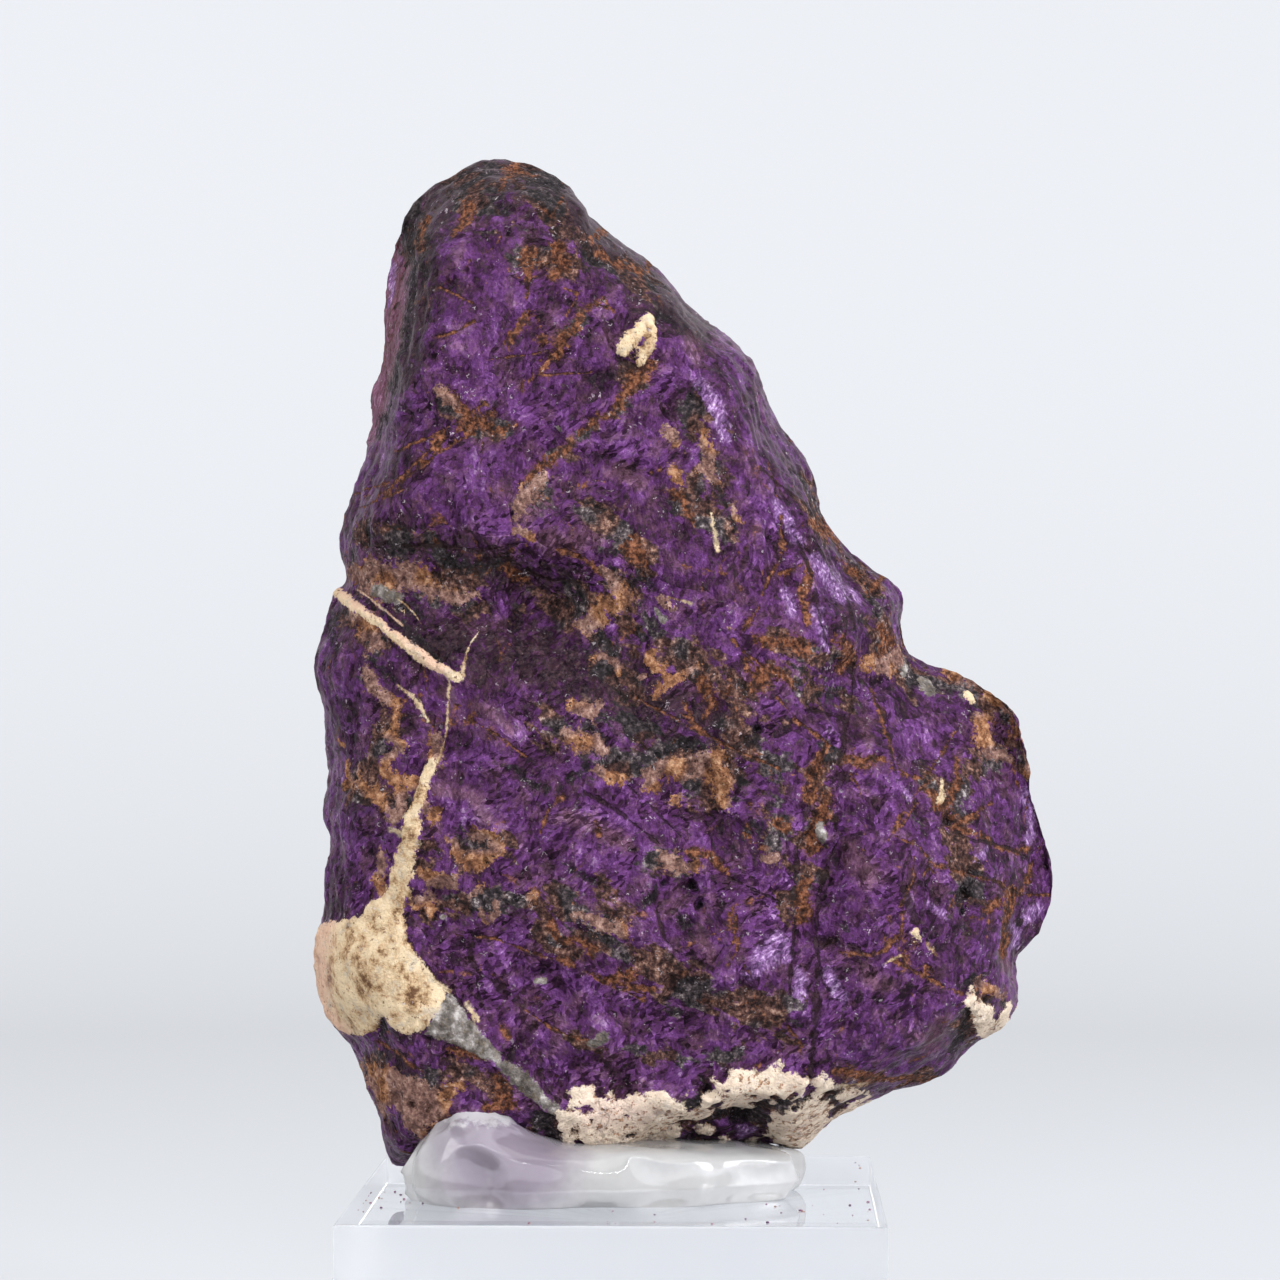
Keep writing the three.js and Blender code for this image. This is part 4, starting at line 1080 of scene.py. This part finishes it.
purpuriteColours = {
    "purple": [
        (0.0, srgb(24, 11, 21)), (0.25, srgb(50, 23, 48)), (0.50, srgb(78, 40, 86)),
        (0.72, srgb(97, 55, 111)), (0.88, srgb(122, 79, 136)), (1.0, srgb(158, 124, 168)),
    ],
    "mauve": [(0.0, srgb(54, 33, 40)), (0.5, srgb(98, 66, 82)), (1.0, srgb(142, 110, 126))],
    "strip": [
        (0.0, srgb(48, 20, 22)), (0.3, srgb(104, 52, 48)), (0.5, srgb(122, 62, 90)),
        (1.0, srgb(160, 104, 146)),
    ],
    "crack": srgb(34, 20, 20),
    "paintedSheen": [
        (0.0, srgb(70, 42, 77)), (0.45, srgb(120, 84, 134)), (0.75, srgb(156, 120, 170)),
        (1.0, srgb(202, 174, 212)),
    ],
    "rust": [
        (0.0, srgb(30, 16, 13)), (0.35, srgb(66, 38, 28)), (0.62, srgb(102, 61, 42)),
        (1.0, srgb(142, 94, 68)),
    ],
    "crumb": [
        (0.0, srgb(17, 9, 9)), (0.30, srgb(41, 25, 24)), (0.50, srgb(66, 43, 40)),
        (0.70, srgb(94, 66, 58)), (0.85, srgb(122, 90, 78)), (1.0, srgb(156, 126, 112)),
    ],
    "ash": [
        (0.0, srgb(15, 12, 14)), (0.40, srgb(40, 34, 37)), (0.65, srgb(70, 61, 64)),
        (0.85, srgb(104, 93, 94)), (1.0, srgb(158, 150, 150)),
    ],
    "tan": [
        (0.0, srgb(40, 22, 15)), (0.35, srgb(92, 58, 40)), (0.62, srgb(134, 92, 64)),
        (1.0, srgb(182, 143, 112)),
    ],
    "rosyTan": [
        (0.0, srgb(42, 27, 26)), (0.35, srgb(88, 62, 57)), (0.62, srgb(122, 91, 82)),
        (1.0, srgb(168, 138, 126)),
    ],
    "pore": srgb(40, 25, 20),
    "dark": [
        (0.0, srgb(11, 8, 10)), (0.50, srgb(30, 24, 27)), (0.82, srgb(58, 52, 56)),
        (1.0, srgb(112, 106, 110)),
    ],
    "pale": [
        (0.0, srgb(92, 64, 44)), (0.20, srgb(140, 112, 82)), (0.50, srgb(176, 150, 118)),
        (1.0, srgb(198, 178, 148)),
    ],
    "rosy": srgb(196, 160, 142),
    "milky": srgb(166, 158, 146),
    "fleck": srgb(98, 70, 52),
    "quartz": [
        (0.0, srgb(54, 48, 45)), (0.4, srgb(96, 90, 86)), (0.75, srgb(138, 132, 129)),
        (1.0, srgb(184, 180, 178)),
    ],
    "olive": srgb(110, 96, 76),
    "chalk": srgb(226, 212, 202),
    "soot": [(0.2, srgb(26, 19, 24)), (0.5, srgb(52, 38, 44)), (0.8, srgb(88, 64, 62))],
    "paintedGlint": srgb(186, 176, 182),
}


purpuriteSetup = {
    "noises": {  # waves to the millimetre, detail, roughness
        "rough": (2.8, 3.0, 0.72),
        "wash": (1.1, 4.0, 0.68),
        "ragged": (4.5, 2.0, 0.7),
        "patches": (0.75, 4.0, 0.74),
        "smuts": (2.3, 3.0, 0.74),
        "crumble": (3.2, 2.0, 0.7),
    },
    "crystals": {"driftScale": 0.45, "drift": 2.4, "scale": 0.42, "turnFrom": -1.25, "turnSpan": 1.5},
    "fibres": (5.2, 5.2, 2.4),
    "flakes": {"drift": 0.9, "large": (1.7, 1.7, 0.9), "fine": (4.6, 4.6, 2.3)},
    "bands": {"lean": -0.5, "stretch": (0.6, 1.0, 1.25), "scale": 0.52},
    "crumbs": {"warpScale": 5.0, "warp": 0.5, "scale": 2.7, "poreScale": 1.9, "paintedGlintScale": 8.0},
    "toneStart": -1.03,
    # Shares of the purple's tone; the hollow, shaded-zone and side-facing shares are negative and darken it
    # as painted shade
    "tone": {
        "fibre": 0.55, "crystal": 0.30, "flake": 0.26, "chip": 0.34, "cloud": 0.45,
        "wash": 0.6, "grain": 0.45, "hollow": -1.2, "shadeAndSoot": -0.30, "flank": -0.05,
    },
    "broken": {"rust": 2.5, "dark": 4.5, "pale": 1.5},  # how often a thin line is interrupted
    "masks": {  # the value at which a finish starts and the one at which it is full
        "shadeAndSoot": (-0.5, 0.9), "flank": (-0.2, 0.8), "dusty": (0.47, 0.66), "soot": (0.57, 0.66),
        "mauve": (-0.4, 0.8), "paintedSheen": (-0.3, 0.6), "lineReach": (0.30, 0.55), "veins": (0.135, 0.10),
        "veinPlaces": (0.46, 0.56), "rust": (-0.12, 0.24), "stain": (-1.0, 0.5), "mottle": (0.25, 0.75),
        "matrix": (0.555, 0.61), "ash": (0.50, 0.60), "dark": (0.05, 0.85), "speckled": (0.3, 0.8),
        "tan": (-0.14, 0.10), "pores": (0.34, 0.48), "rosyTan": (0.42, 0.56), "quartz": (-0.05, 0.20),
        "glassy": (0.30, 0.72), "olive": (0.5, 0.7), "pale": (-0.12, 0.12), "paleStainsAndShade": (0.33, 0.60),
        "rosy": (0.45, 1.7), "milky": (0.55, 0.66), "fleck": (0.62, 0.70), "chalk": (-0.6, 0.2),
        "footDirt": (0.52, 0.60), "paintedGlint": (0.96, 1.0), "paintedGlintPlaces": (0.50, 0.62),
        "openStone": (0.15, -0.15), "grazing": (0.35, 1.0),
    },
    "shares": {  # how much of what lies under a finish it hides
        "dusty": 0.55, "soot": 0.7, "strip": 0.95, "mauve": 0.7, "paintedSheen": 0.85, "stain": 0.45, "dark": 0.9,
        "crack": 0.8, "olive": 0.55, "rosy": 0.75, "milky": 0.55, "fleck": 0.85, "chalk": 0.45,
        "footDirt": 0.85, "paintedGlint": 0.5, "grazingSheen": 0.25,
    },
    "metal": 0.42,
    "matt": 0.61,
    "bump": {"Distance": 0.00022, "Strength": 0.9},
}


def purpuriteMaterial(setup, colours):
    material, tree, surface = newMaterial("silky_purpurite")
    place = millimetres(tree)
    pale, tan, rust, dark = marksAt(tree, "marksOne")
    quartz, paintedSheen, mauve, crumbly = marksAt(tree, "marksTwo")
    paleSide, paleNear, hollow, strip = marksAt(tree, "paleLinesHollowsAndStrip")
    rustSide, rustNear, darkSide, darkNear = marksAt(tree, "thinMarks")
    shadeAndSoot, foot, flank, rosy = marksAt(tree, "shadeMarks")
    borders, veinPlaces, kind, swell = marksAt(tree, "cloudMarks")

    def mask(name, value):
        return soften(tree, value, *setup["masks"][name])

    def ramp(name, value):
        return colourRamp(tree, value, colours[name])

    def washed(under, name, value, over):
        return blend(tree, times(tree, value, setup["shares"][name]), under, over)

    def turnedBy(angle):
        inputs = {"Vector": place, "Axis": (0.0, 1.0, 0.0), "Angle": angle}
        return put(tree, "ShaderNodeVectorRotate", inputs).outputs[0]

    def chips(warped):
        # Little broken planes, each tilted its own way: a rise for the bump and a shade
        cell = put(tree, "ShaderNodeTexVoronoi", {"Vector": warped, "Scale": 1.0}).outputs
        away = vectors(tree, "SUBTRACT", warped, cell["Position"])
        lean = vectors(tree, "SUBTRACT", cell["Color"], (0.5, 0.5, 0.5))
        return vectors(tree, "DOT_PRODUCT", away, lean, output="Value"), channels(tree, cell["Color"])[0]

    def thinMask(name, side, near):
        broken = setup["broken"][name]
        width = weighed(tree, sums(tree, "ABSOLUTE", side), (ragged, 3.0), (swell, broken))
        width = soften(tree, width, 2.6 + broken * 0.5, 1.6 + broken * 0.5)
        return times(tree, width, mask("lineReach", near))

    # Crystal domains, each with its fibres turned its own way
    crystals = setup["crystals"]
    drift = noiseAt(tree, place, crystals["driftScale"], 0.0, output="Color")
    drift = vectors(tree, "SUBTRACT", drift, (0.5, 0.5, 0.5))
    drifted = vectors(tree, "MULTIPLY_ADD", drift, (crystals["drift"],) * 3, place)
    domain = channels(tree, cellsAt(tree, drifted, crystals["scale"], "Color"))
    turned = turnedBy(weighed(tree, crystals["turnFrom"], (domain[0], crystals["turnSpan"])))
    cloud, grain = mottleAt(tree, place, 0.55)
    fibre = noiseAt(tree, vectors(tree, "MULTIPLY", turned, setup["fibres"]), 1.0, 2.0, 0.62)
    scales = vectors(tree, "MULTIPLY_ADD", drift, (setup["flakes"]["drift"],) * 3, turned)
    flake = cellsAt(tree, vectors(tree, "MULTIPLY", scales, setup["flakes"]["large"]), 1.0, "Color")
    chipRise, chip = chips(vectors(tree, "MULTIPLY", scales, setup["flakes"]["fine"]))
    waves = {name: noiseAt(tree, place, *wave) for name, wave in setup["noises"].items()}
    rough, wash, ragged, patches, smuts, crumble = waves.values()
    mottle = mask("mottle", crumble)
    fray = weighed(tree, -1.1, (rough, 2.2))
    frayed = weighed(tree, -0.85, (ragged, 1.7), (fray, 1.6))
    # Shaded zones and side-facing faces, both used below to darken the tone as painted shade
    shadeAndSootMask = mask("shadeAndSoot", sums(tree, "ADD", shadeAndSoot, fray))
    flankMask = mask("flank", sums(tree, "ADD", flank, fray))
    shades = {
        "fibre": fibre, "crystal": domain[1], "flake": channels(tree, flake)[0], "chip": chip, "cloud": cloud,
        "wash": wash, "grain": grain, "hollow": hollow, "shadeAndSoot": shadeAndSootMask, "flank": flankMask,
    }
    parts = [(shades[name], share) for name, share in setup["tone"].items()]
    tone = weighed(tree, setup["toneStart"], *parts)
    colour = ramp("purple", tone)
    colour = washed(colour, "dusty", mask("dusty", patches), ramp("mauve", tone))
    # Soot smudges from noise, laid on more thickly in the shaded zones and on side faces: real soot plus
    # painted shade
    sootWithShade = weighed(tree, smuts, (shadeAndSootMask, 0.14), (flankMask, 0.04))
    colour = washed(colour, "soot", mask("soot", sootWithShade), ramp("soot", ragged))
    colour = washed(colour, "strip", strip, ramp("strip", weighed(tree, tone, (rough, 0.5))))
    colour = washed(colour, "mauve", mask("mauve", sums(tree, "ADD", mauve, fray)), ramp("mauve", tone))
    # Painted sheen: bright lavender fibre streaks, darkened in the hollows as painted shade
    silky = weighed(tree, -0.80, (hollow, -1.2), (fibre, 2.6))
    colour = washed(colour, "paintedSheen", mask("paintedSheen", sums(tree, "ADD", paintedSheen, fray)), ramp("paintedSheen", silky))

    # Brown veins between the domains, and the stain around them
    veins = mask("veins", weighed(tree, borders, (ragged, 0.12), (swell, 0.10)))
    rustLines = thinMask("rust", rustSide, rustNear)
    rustMask = most(tree, mask("rust", sums(tree, "ADD", rust, frayed)), rustLines,
                    times(tree, veins, mask("veinPlaces", veinPlaces)))
    colour = washed(colour, "stain", mask("stain", sums(tree, "ADD", rust, fray)), ramp("rust", tone))

    # Crumbly matrix: black-brown and charcoal crumbs, drawn out in bands that fall to the right
    banded = vectors(tree, "MULTIPLY", turnedBy(setup["bands"]["lean"]), setup["bands"]["stretch"])
    bands = noiseAt(tree, banded, setup["bands"]["scale"], 5.0, 0.68)
    bands = weighed(tree, bands, (crumbly, 0.15), (hollow, 0.25), (flankMask, 0.03))
    matrixMask = mask("matrix", bands)
    grains = setup["crumbs"]
    warp = noiseAt(tree, place, grains["warpScale"], 0.0, 0.6, "Color")
    warp = vectors(tree, "MULTIPLY_ADD", warp, (grains["warp"],) * 3, place)
    crumbs = channels(tree, cellsAt(tree, warp, grains["scale"], "Color"))
    # Painted shade: the crumbs are darker in the hollows and in the shaded zones
    crumbTone = weighed(tree, 0.02, (crumbs[0], 0.25), (mottle, 0.75), (hollow, -1.0), (shadeAndSootMask, -0.14))
    crumbColour = blend(tree, mask("ash", kind), ramp("crumb", crumbTone), ramp("ash", crumbTone))
    colour = blend(tree, matrixMask, colour, crumbColour)
    colour = blend(tree, rustMask, colour, ramp("rust", mottle))

    # Black stains and cracks, painted shadows and the painted shade of the pits, then sand-coloured crusts
    # full of pores
    darkMask = mask("dark", sums(tree, "ADD", dark, frayed))
    darkLines = thinMask("dark", darkSide, darkNear)
    colour = washed(colour, "dark", darkMask, ramp("dark", mask("speckled", ragged)))
    colour = washed(colour, "crack", darkLines, colours["crack"])
    tanMask = mask("tan", sums(tree, "ADD", tan, frayed))
    pores = mask("pores", weighed(tree, cellsAt(tree, warp, grains["poreScale"]), (rough, 0.5)))
    # Painted shade: the crusts are darker in the hollows
    tanTone = weighed(tree, 0.12, (crumbs[1], 0.25), (mottle, 0.55), (hollow, -1.0))
    warmTan = blend(tree, mask("rosyTan", kind), ramp("tan", tanTone), ramp("rosyTan", tanTone))
    colour = blend(tree, tanMask, colour, blend(tree, pores, colours["pore"], warmTan))

    # Grey quartz and cream feldspar, chalky and dirty at the stone's foot
    quartzMask = mask("quartz", weighed(tree, quartz, (fray, 0.9)))
    glassy = washed(ramp("quartz", mask("glassy", wash)), "olive", mask("olive", rough), colours["olive"])
    colour = blend(tree, quartzMask, colour, glassy)
    paleMask = mask("pale", weighed(tree, pale, (fray, 0.9)))
    paleMask = most(tree, paleMask, thinMask("pale", paleSide, paleNear))
    # Brown stains on the feldspar, deepened in the hollows as painted shade
    paleColour = ramp("pale", mask("paleStainsAndShade", weighed(tree, patches, (hollow, -0.5))))
    paleColour = washed(paleColour, "rosy", mask("rosy", weighed(tree, rosy, (smuts, 1.6))), colours["rosy"])
    paleColour = washed(paleColour, "milky", mask("milky", wash), colours["milky"])
    paleColour = washed(paleColour, "fleck", mask("fleck", crumble), colours["fleck"])
    footMask = mask("chalk", foot)
    paleColour = washed(paleColour, "chalk", footMask, colours["chalk"])
    footDirt = times(tree, mask("footDirt", weighed(tree, smuts, (hollow, 0.7))), footMask)
    paleColour = washed(paleColour, "footDirt", footDirt, ramp("tan", mottle))
    colour = blend(tree, paleMask, colour, paleColour)
    # Painted glints: tiny pale sparkles scattered where the swell allows
    paintedGlints = channels(tree, cellsAt(tree, warp, grains["paintedGlintScale"], "Color"))[0]
    paintedGlints = times(tree, mask("paintedGlint", paintedGlints), mask("paintedGlintPlaces", swell))
    colour = washed(colour, "paintedGlint", paintedGlints, colours["paintedGlint"])

    # Bare crystal shines with a satin lustre, the rest is matt; bare crystal also gets a painted sheen at
    # grazing angles
    cover = most(tree, paleMask, tanMask, quartzMask, darkMask, matrixMask, rustMask)
    bare = sums(tree, "SUBTRACT", 1.0, cover)
    bareCrystal = times(tree, bare, sums(tree, "SUBTRACT", 1.0, strip))
    matt = weighed(tree, setup["matt"], (bare, -0.20), (flankMask, 0.12), (quartzMask, -0.25), (grain, 0.12))
    openStone = mask("openStone", most(tree, pale, quartz, tan))
    relief = weighed(
        tree, times(tree, grain, 0.4), (fibre, weighed(tree, 0.2, (openStone, 0.4))), (rough, 0.8),
        (chipRise, weighed(tree, 0.8, (openStone, 2.0))), (most(tree, darkLines, rustLines), -0.8),
    )
    bump = put(tree, "ShaderNodeBump", {"Height": relief, **setup["bump"]})
    # Painted sheen: bare crystal is lightened towards a pale colour where it turns away at grazing angles
    grazing = put(tree, "ShaderNodeLayerWeight", {"Blend": 0.35}).outputs["Facing"]
    grazingSheen = times(tree, mask("grazing", grazing), times(tree, bareCrystal, setup["shares"]["grazingSheen"]))
    colour = blend(tree, grazingSheen, colour, colours["paintedGlint"], "SCREEN")
    tree.links.new(colour, surface.inputs["Base Color"])
    tree.links.new(times(tree, bareCrystal, setup["metal"]), surface.inputs["Metallic"])
    tree.links.new(matt, surface.inputs["Roughness"])
    tree.links.new(bump.outputs[0], surface.inputs["Normal"])
    surface.inputs["Specular IOR Level"].default_value = 0.15
    return material


stone = carveStone(stoneSetup)
stone.data.materials.append(purpuriteMaterial(purpuriteSetup, purpuriteColours))
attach(stone, "root")
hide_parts("purpurite_stone")
print("stone is finished")

# Bead of clear gel, pressed up against the foot of the stone
beadSetup = {
    "centre": (-0.75, -2.4),
    "turn": math.radians(9.8),
    "halfLength": 12.0,
    "halfDepth": 6.7,
    "height": 3.3,
    "squareness": 2.5,
    "bulgeHeight": 1.0,
    "footInset": 0.4,
    "footSpread": 2.2,
    "steepness": 1.3,
    "subdivisions": 6,
    "forms": [
        {"at": (-8.4, -6.4), "reach": (3.4, 2.7), "rise": 2.7},
        {"at": (-12.6, -5.0), "reach": (1.7, 6.0), "rise": -1.7},
        {"at": (9.0, 0.0), "reach": (4.0, 8.0), "rise": -0.4},
        {"at": (2.0, 3.4), "reach": (4.5, 2.0), "rise": 0.8},
    ],
    "ripples": [{"wave": 2.6, "rise": 0.16}, {"wave": 1.1, "rise": 0.06}],
    # Painted highlight: the colour brightens the lobe's torn top edge
    "tornHemAndHighlight": {  # the torn upper edge of the lobe
        "from": 3.4, "to": 4.6, "wave": 0.7, "rise": 0.55, "share": 0.8, "colour": srgb(232, 230, 234),
    },
    "edgeWander": {"wave": 4.0, "share": 0.16},
    # Painted see-through: the gel is tinted with the stone's colour near the lobe, where the stone lies
    # behind it
    "paintedSeeThrough": {  # where the stone shows through
        "at": (-6.2, -8.6, 3.4), "near": 2.2, "far": 6.2, "share": 0.8, "colour": srgb(140, 124, 146),
    },
    "milk": [(0.3, srgb(206, 206, 206)), (0.7, srgb(218, 217, 217))],
    "clear": 0.5,
    "bends": 1.43,  # index of refraction
    "roughness": 0.06,
}


def roundedShare(value, steepness, power=4):
    def cap(x):
        return x / (1.0 + x ** power) ** (1.0 / power)

    return cap(steepness * value) / cap(steepness)


def makeBead(setup):
    bm = bmesh.new()
    bmesh.ops.create_icosphere(bm, subdivisions=setup["subdivisions"], radius=1.0)
    cosine, sine = math.cos(setup["turn"]), math.sin(setup["turn"])
    for vert in bm.verts:
        x, y, z = vert.co
        around = math.hypot(x, y)
        under = min(1.0, max(0.0, -setup["footSpread"] * z))
        reach = 0.0
        if around > 1e-9:
            power = setup["squareness"]
            square = around / (abs(x) ** power + abs(y) ** power) ** (1.0 / power)
            reach = roundedShare(around, setup["steepness"]) / around * square
        wander = setup["edgeWander"]
        spot = Vector((x, y, 0.0)) * setup["halfLength"] / wander["wave"]
        out = 1.0 - wander["share"] * max(0.0, noise.noise(spot) + 0.25)
        along = x * reach * out * (setup["halfLength"] - setup["footInset"] * under)
        deep = y * reach * out * (setup["halfDepth"] - setup["footInset"] * under)
        placeX = setup["centre"][0] + along * cosine - deep * sine
        placeY = setup["centre"][1] + along * sine + deep * cosine
        rise = setup["height"] - setup["bulgeHeight"]
        for form in setup["forms"]:
            offX = (placeX - form["at"][0]) / form["reach"][0]
            offY = (placeY - form["at"][1]) / form["reach"][1]
            rise += form["rise"] * math.exp(-offX * offX - offY * offY)
        for ripple in setup["ripples"]:
            rise += ripple["rise"] * noise.noise(Vector((placeX, placeY, 3.0)) / ripple["wave"])
        height = setup["bulgeHeight"] + rise * roundedShare(max(0.0, z), setup["steepness"])
        torn = setup["tornHemAndHighlight"]
        near = min(1.0, max(0.0, (height - torn["from"]) / (torn["to"] - torn["from"])))
        height += torn["rise"] * near * noise.noise(Vector((placeX, placeY, 7.0)) / torn["wave"])
        if z < 0.0:
            height = setup["bulgeHeight"] * (1.0 - under)
        vert.co = (placeX * mm, placeY * mm, (blockTop + height) * mm)
    mesh = meshFromBmesh("gel_bead", bm)
    setSmooth(mesh)
    bead = addObject("gel_bead", mesh)
    material, tree, surface = newMaterial("milky_clear_gel")
    place = millimetres(tree)
    cloud = mottleAt(tree, place, 0.5)[0]
    milk = colourRamp(tree, cloud, setup["milk"])
    # Painted see-through: the stone's colour laid into the gel around one spot
    paintedSeeThrough = setup["paintedSeeThrough"]
    heart = (paintedSeeThrough["at"][0], paintedSeeThrough["at"][1], paintedSeeThrough["at"][2] + blockTop)
    away = vectors(tree, "DISTANCE", place, heart, output="Value")
    away = weighed(tree, away, (cloud, 2.0))
    paintedSeeThroughMask = soften(tree, away, paintedSeeThrough["far"] + 1.0, paintedSeeThrough["near"] + 1.0)
    milk = blend(tree, times(tree, paintedSeeThroughMask, paintedSeeThrough["share"]), milk, paintedSeeThrough["colour"])
    up = put(tree, "ShaderNodeSeparateXYZ", {0: place}).outputs["Z"]
    # Painted highlight: a pale line along the lobe's torn top edge
    tornHemAndHighlight = setup["tornHemAndHighlight"]
    hemHighlightMask = weighed(tree, up, (noiseAt(tree, place, 1.6, 3.0), 1.6))
    hemHighlightMask = soften(tree, hemHighlightMask, blockTop + tornHemAndHighlight["from"] + 1.8, blockTop + tornHemAndHighlight["to"] + 1.1)
    milk = blend(tree, times(tree, hemHighlightMask, tornHemAndHighlight["share"]), milk, tornHemAndHighlight["colour"])
    tree.links.new(milk, surface.inputs["Base Color"])
    surface.inputs["Transmission Weight"].default_value = setup["clear"]
    surface.inputs["IOR"].default_value = setup["bends"]
    surface.inputs["Roughness"].default_value = setup["roughness"]
    bead.data.materials.append(material)
    return bead


bead = makeBead(beadSetup)
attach(bead, "root")
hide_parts("clear_adhesive")

# Block of clear acrylic with lightly broken edges
blockSetup = {
    "edge": 0.15,
    "edgeSteps": 3,
    "tint": [(0.35, srgb(249, 250, 253)), (0.75, srgb(254, 254, 255))],
    "clear": 1.0,
    "bends": 1.49,  # index of refraction
    "polish": 0.005,
    "haze": 0.04,
    "sawnSides": 0.30,
}


def makeBlock(setup):
    bm = bmesh.new()
    bmesh.ops.create_cube(bm, size=1.0)
    bmesh.ops.scale(bm, vec=blockHigh - blockLow, verts=bm.verts)
    bmesh.ops.translate(bm, vec=(blockHigh + blockLow) / 2, verts=bm.verts)
    bmesh.ops.bevel(
        bm, geom=bm.edges[:], offset=setup["edge"] * mm, offset_type="OFFSET", segments=setup["edgeSteps"],
        profile=0.5, affect="EDGES", material=-1,
    )
    block = addObject("polished_block", meshFromBmesh("polished_block", bm))
    material, tree, surface = newMaterial("polished_acrylic")
    haze = mottleAt(tree, millimetres(tree), 0.35)[0]
    tree.links.new(colourRamp(tree, haze, setup["tint"]), surface.inputs["Base Color"])
    normal = put(tree, "ShaderNodeNewGeometry").outputs["Normal"]
    facing = put(tree, "ShaderNodeSeparateXYZ", {0: normal}).outputs["Z"]
    upright = soften(tree, sums(tree, "ABSOLUTE", facing), 0.97, 0.5)
    shine = weighed(tree, setup["polish"], (haze, setup["haze"]), (upright, setup["sawnSides"]))
    tree.links.new(shine, surface.inputs["Roughness"])
    surface.inputs["Transmission Weight"].default_value = setup["clear"]
    surface.inputs["IOR"].default_value = setup["bends"]
    block.data.materials.append(material)
    block.visible_shadow = False  # light reaches the paper under clear plastic
    return block


block = makeBlock(blockSetup)
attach(block, "root")
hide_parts("acrylic_block")

# Purple and brown crumbs that lie on the block around the bead
dustSetup = {
    "count": 90,
    "seed": 7,
    "sizes": (0.035, 0.11),
    "reach": 14.2,
    "clusters": [  # across, away, spread
        (-11.5, -8.0, 2.6), (-13.0, -4.0, 1.8), (11.0, -9.5, 2.6),
        (1.0, -12.0, 5.0), (-8.0, 8.0, 4.0), (9.0, 7.0, 4.0),
    ],
    "colours": [
        (0.2, srgb(70, 36, 70)), (0.55, srgb(128, 74, 110)),
        (0.8, srgb(120, 84, 62)), (1.0, srgb(190, 160, 150)),
    ],
    "roughness": 0.7,
}


def makeDust(setup):
    chance = random.Random(setup["seed"])
    bm = bmesh.new()
    for _ in range(setup["count"]):
        acrossMiddle, awayMiddle, spread = chance.choice(setup["clusters"])
        size = setup["sizes"][0] + (setup["sizes"][1] - setup["sizes"][0]) * chance.random() ** 2
        across = min(setup["reach"], max(-setup["reach"], chance.gauss(acrossMiddle, spread)))
        away = min(setup["reach"], max(-setup["reach"], chance.gauss(awayMiddle, spread)))
        made = bmesh.ops.create_icosphere(bm, subdivisions=1, radius=size * mm)["verts"]
        stretch = (chance.uniform(0.7, 1.6), chance.uniform(0.7, 1.3), chance.uniform(0.4, 0.8))
        bmesh.ops.scale(bm, vec=stretch, verts=made)
        bmesh.ops.rotate(bm, matrix=Matrix.Rotation(chance.uniform(0, math.pi), 3, "Z"), verts=made)
        bmesh.ops.translate(bm, vec=(across * mm, away * mm, (blockTop + size * 0.35) * mm), verts=made)
    dust = addObject("stone_crumbs", meshFromBmesh("stone_crumbs", bm))
    material, tree, surface = newMaterial("crumbled_purpurite")
    kind = soften(tree, mottleAt(tree, millimetres(tree), 1.7)[0], 0.3, 0.7)
    tree.links.new(colourRamp(tree, kind, setup["colours"]), surface.inputs["Base Color"])
    surface.inputs["Roughness"].default_value = setup["roughness"]
    dust.data.materials.append(material)
    return dust


dust = makeDust(dustSetup)
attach(dust, "root")
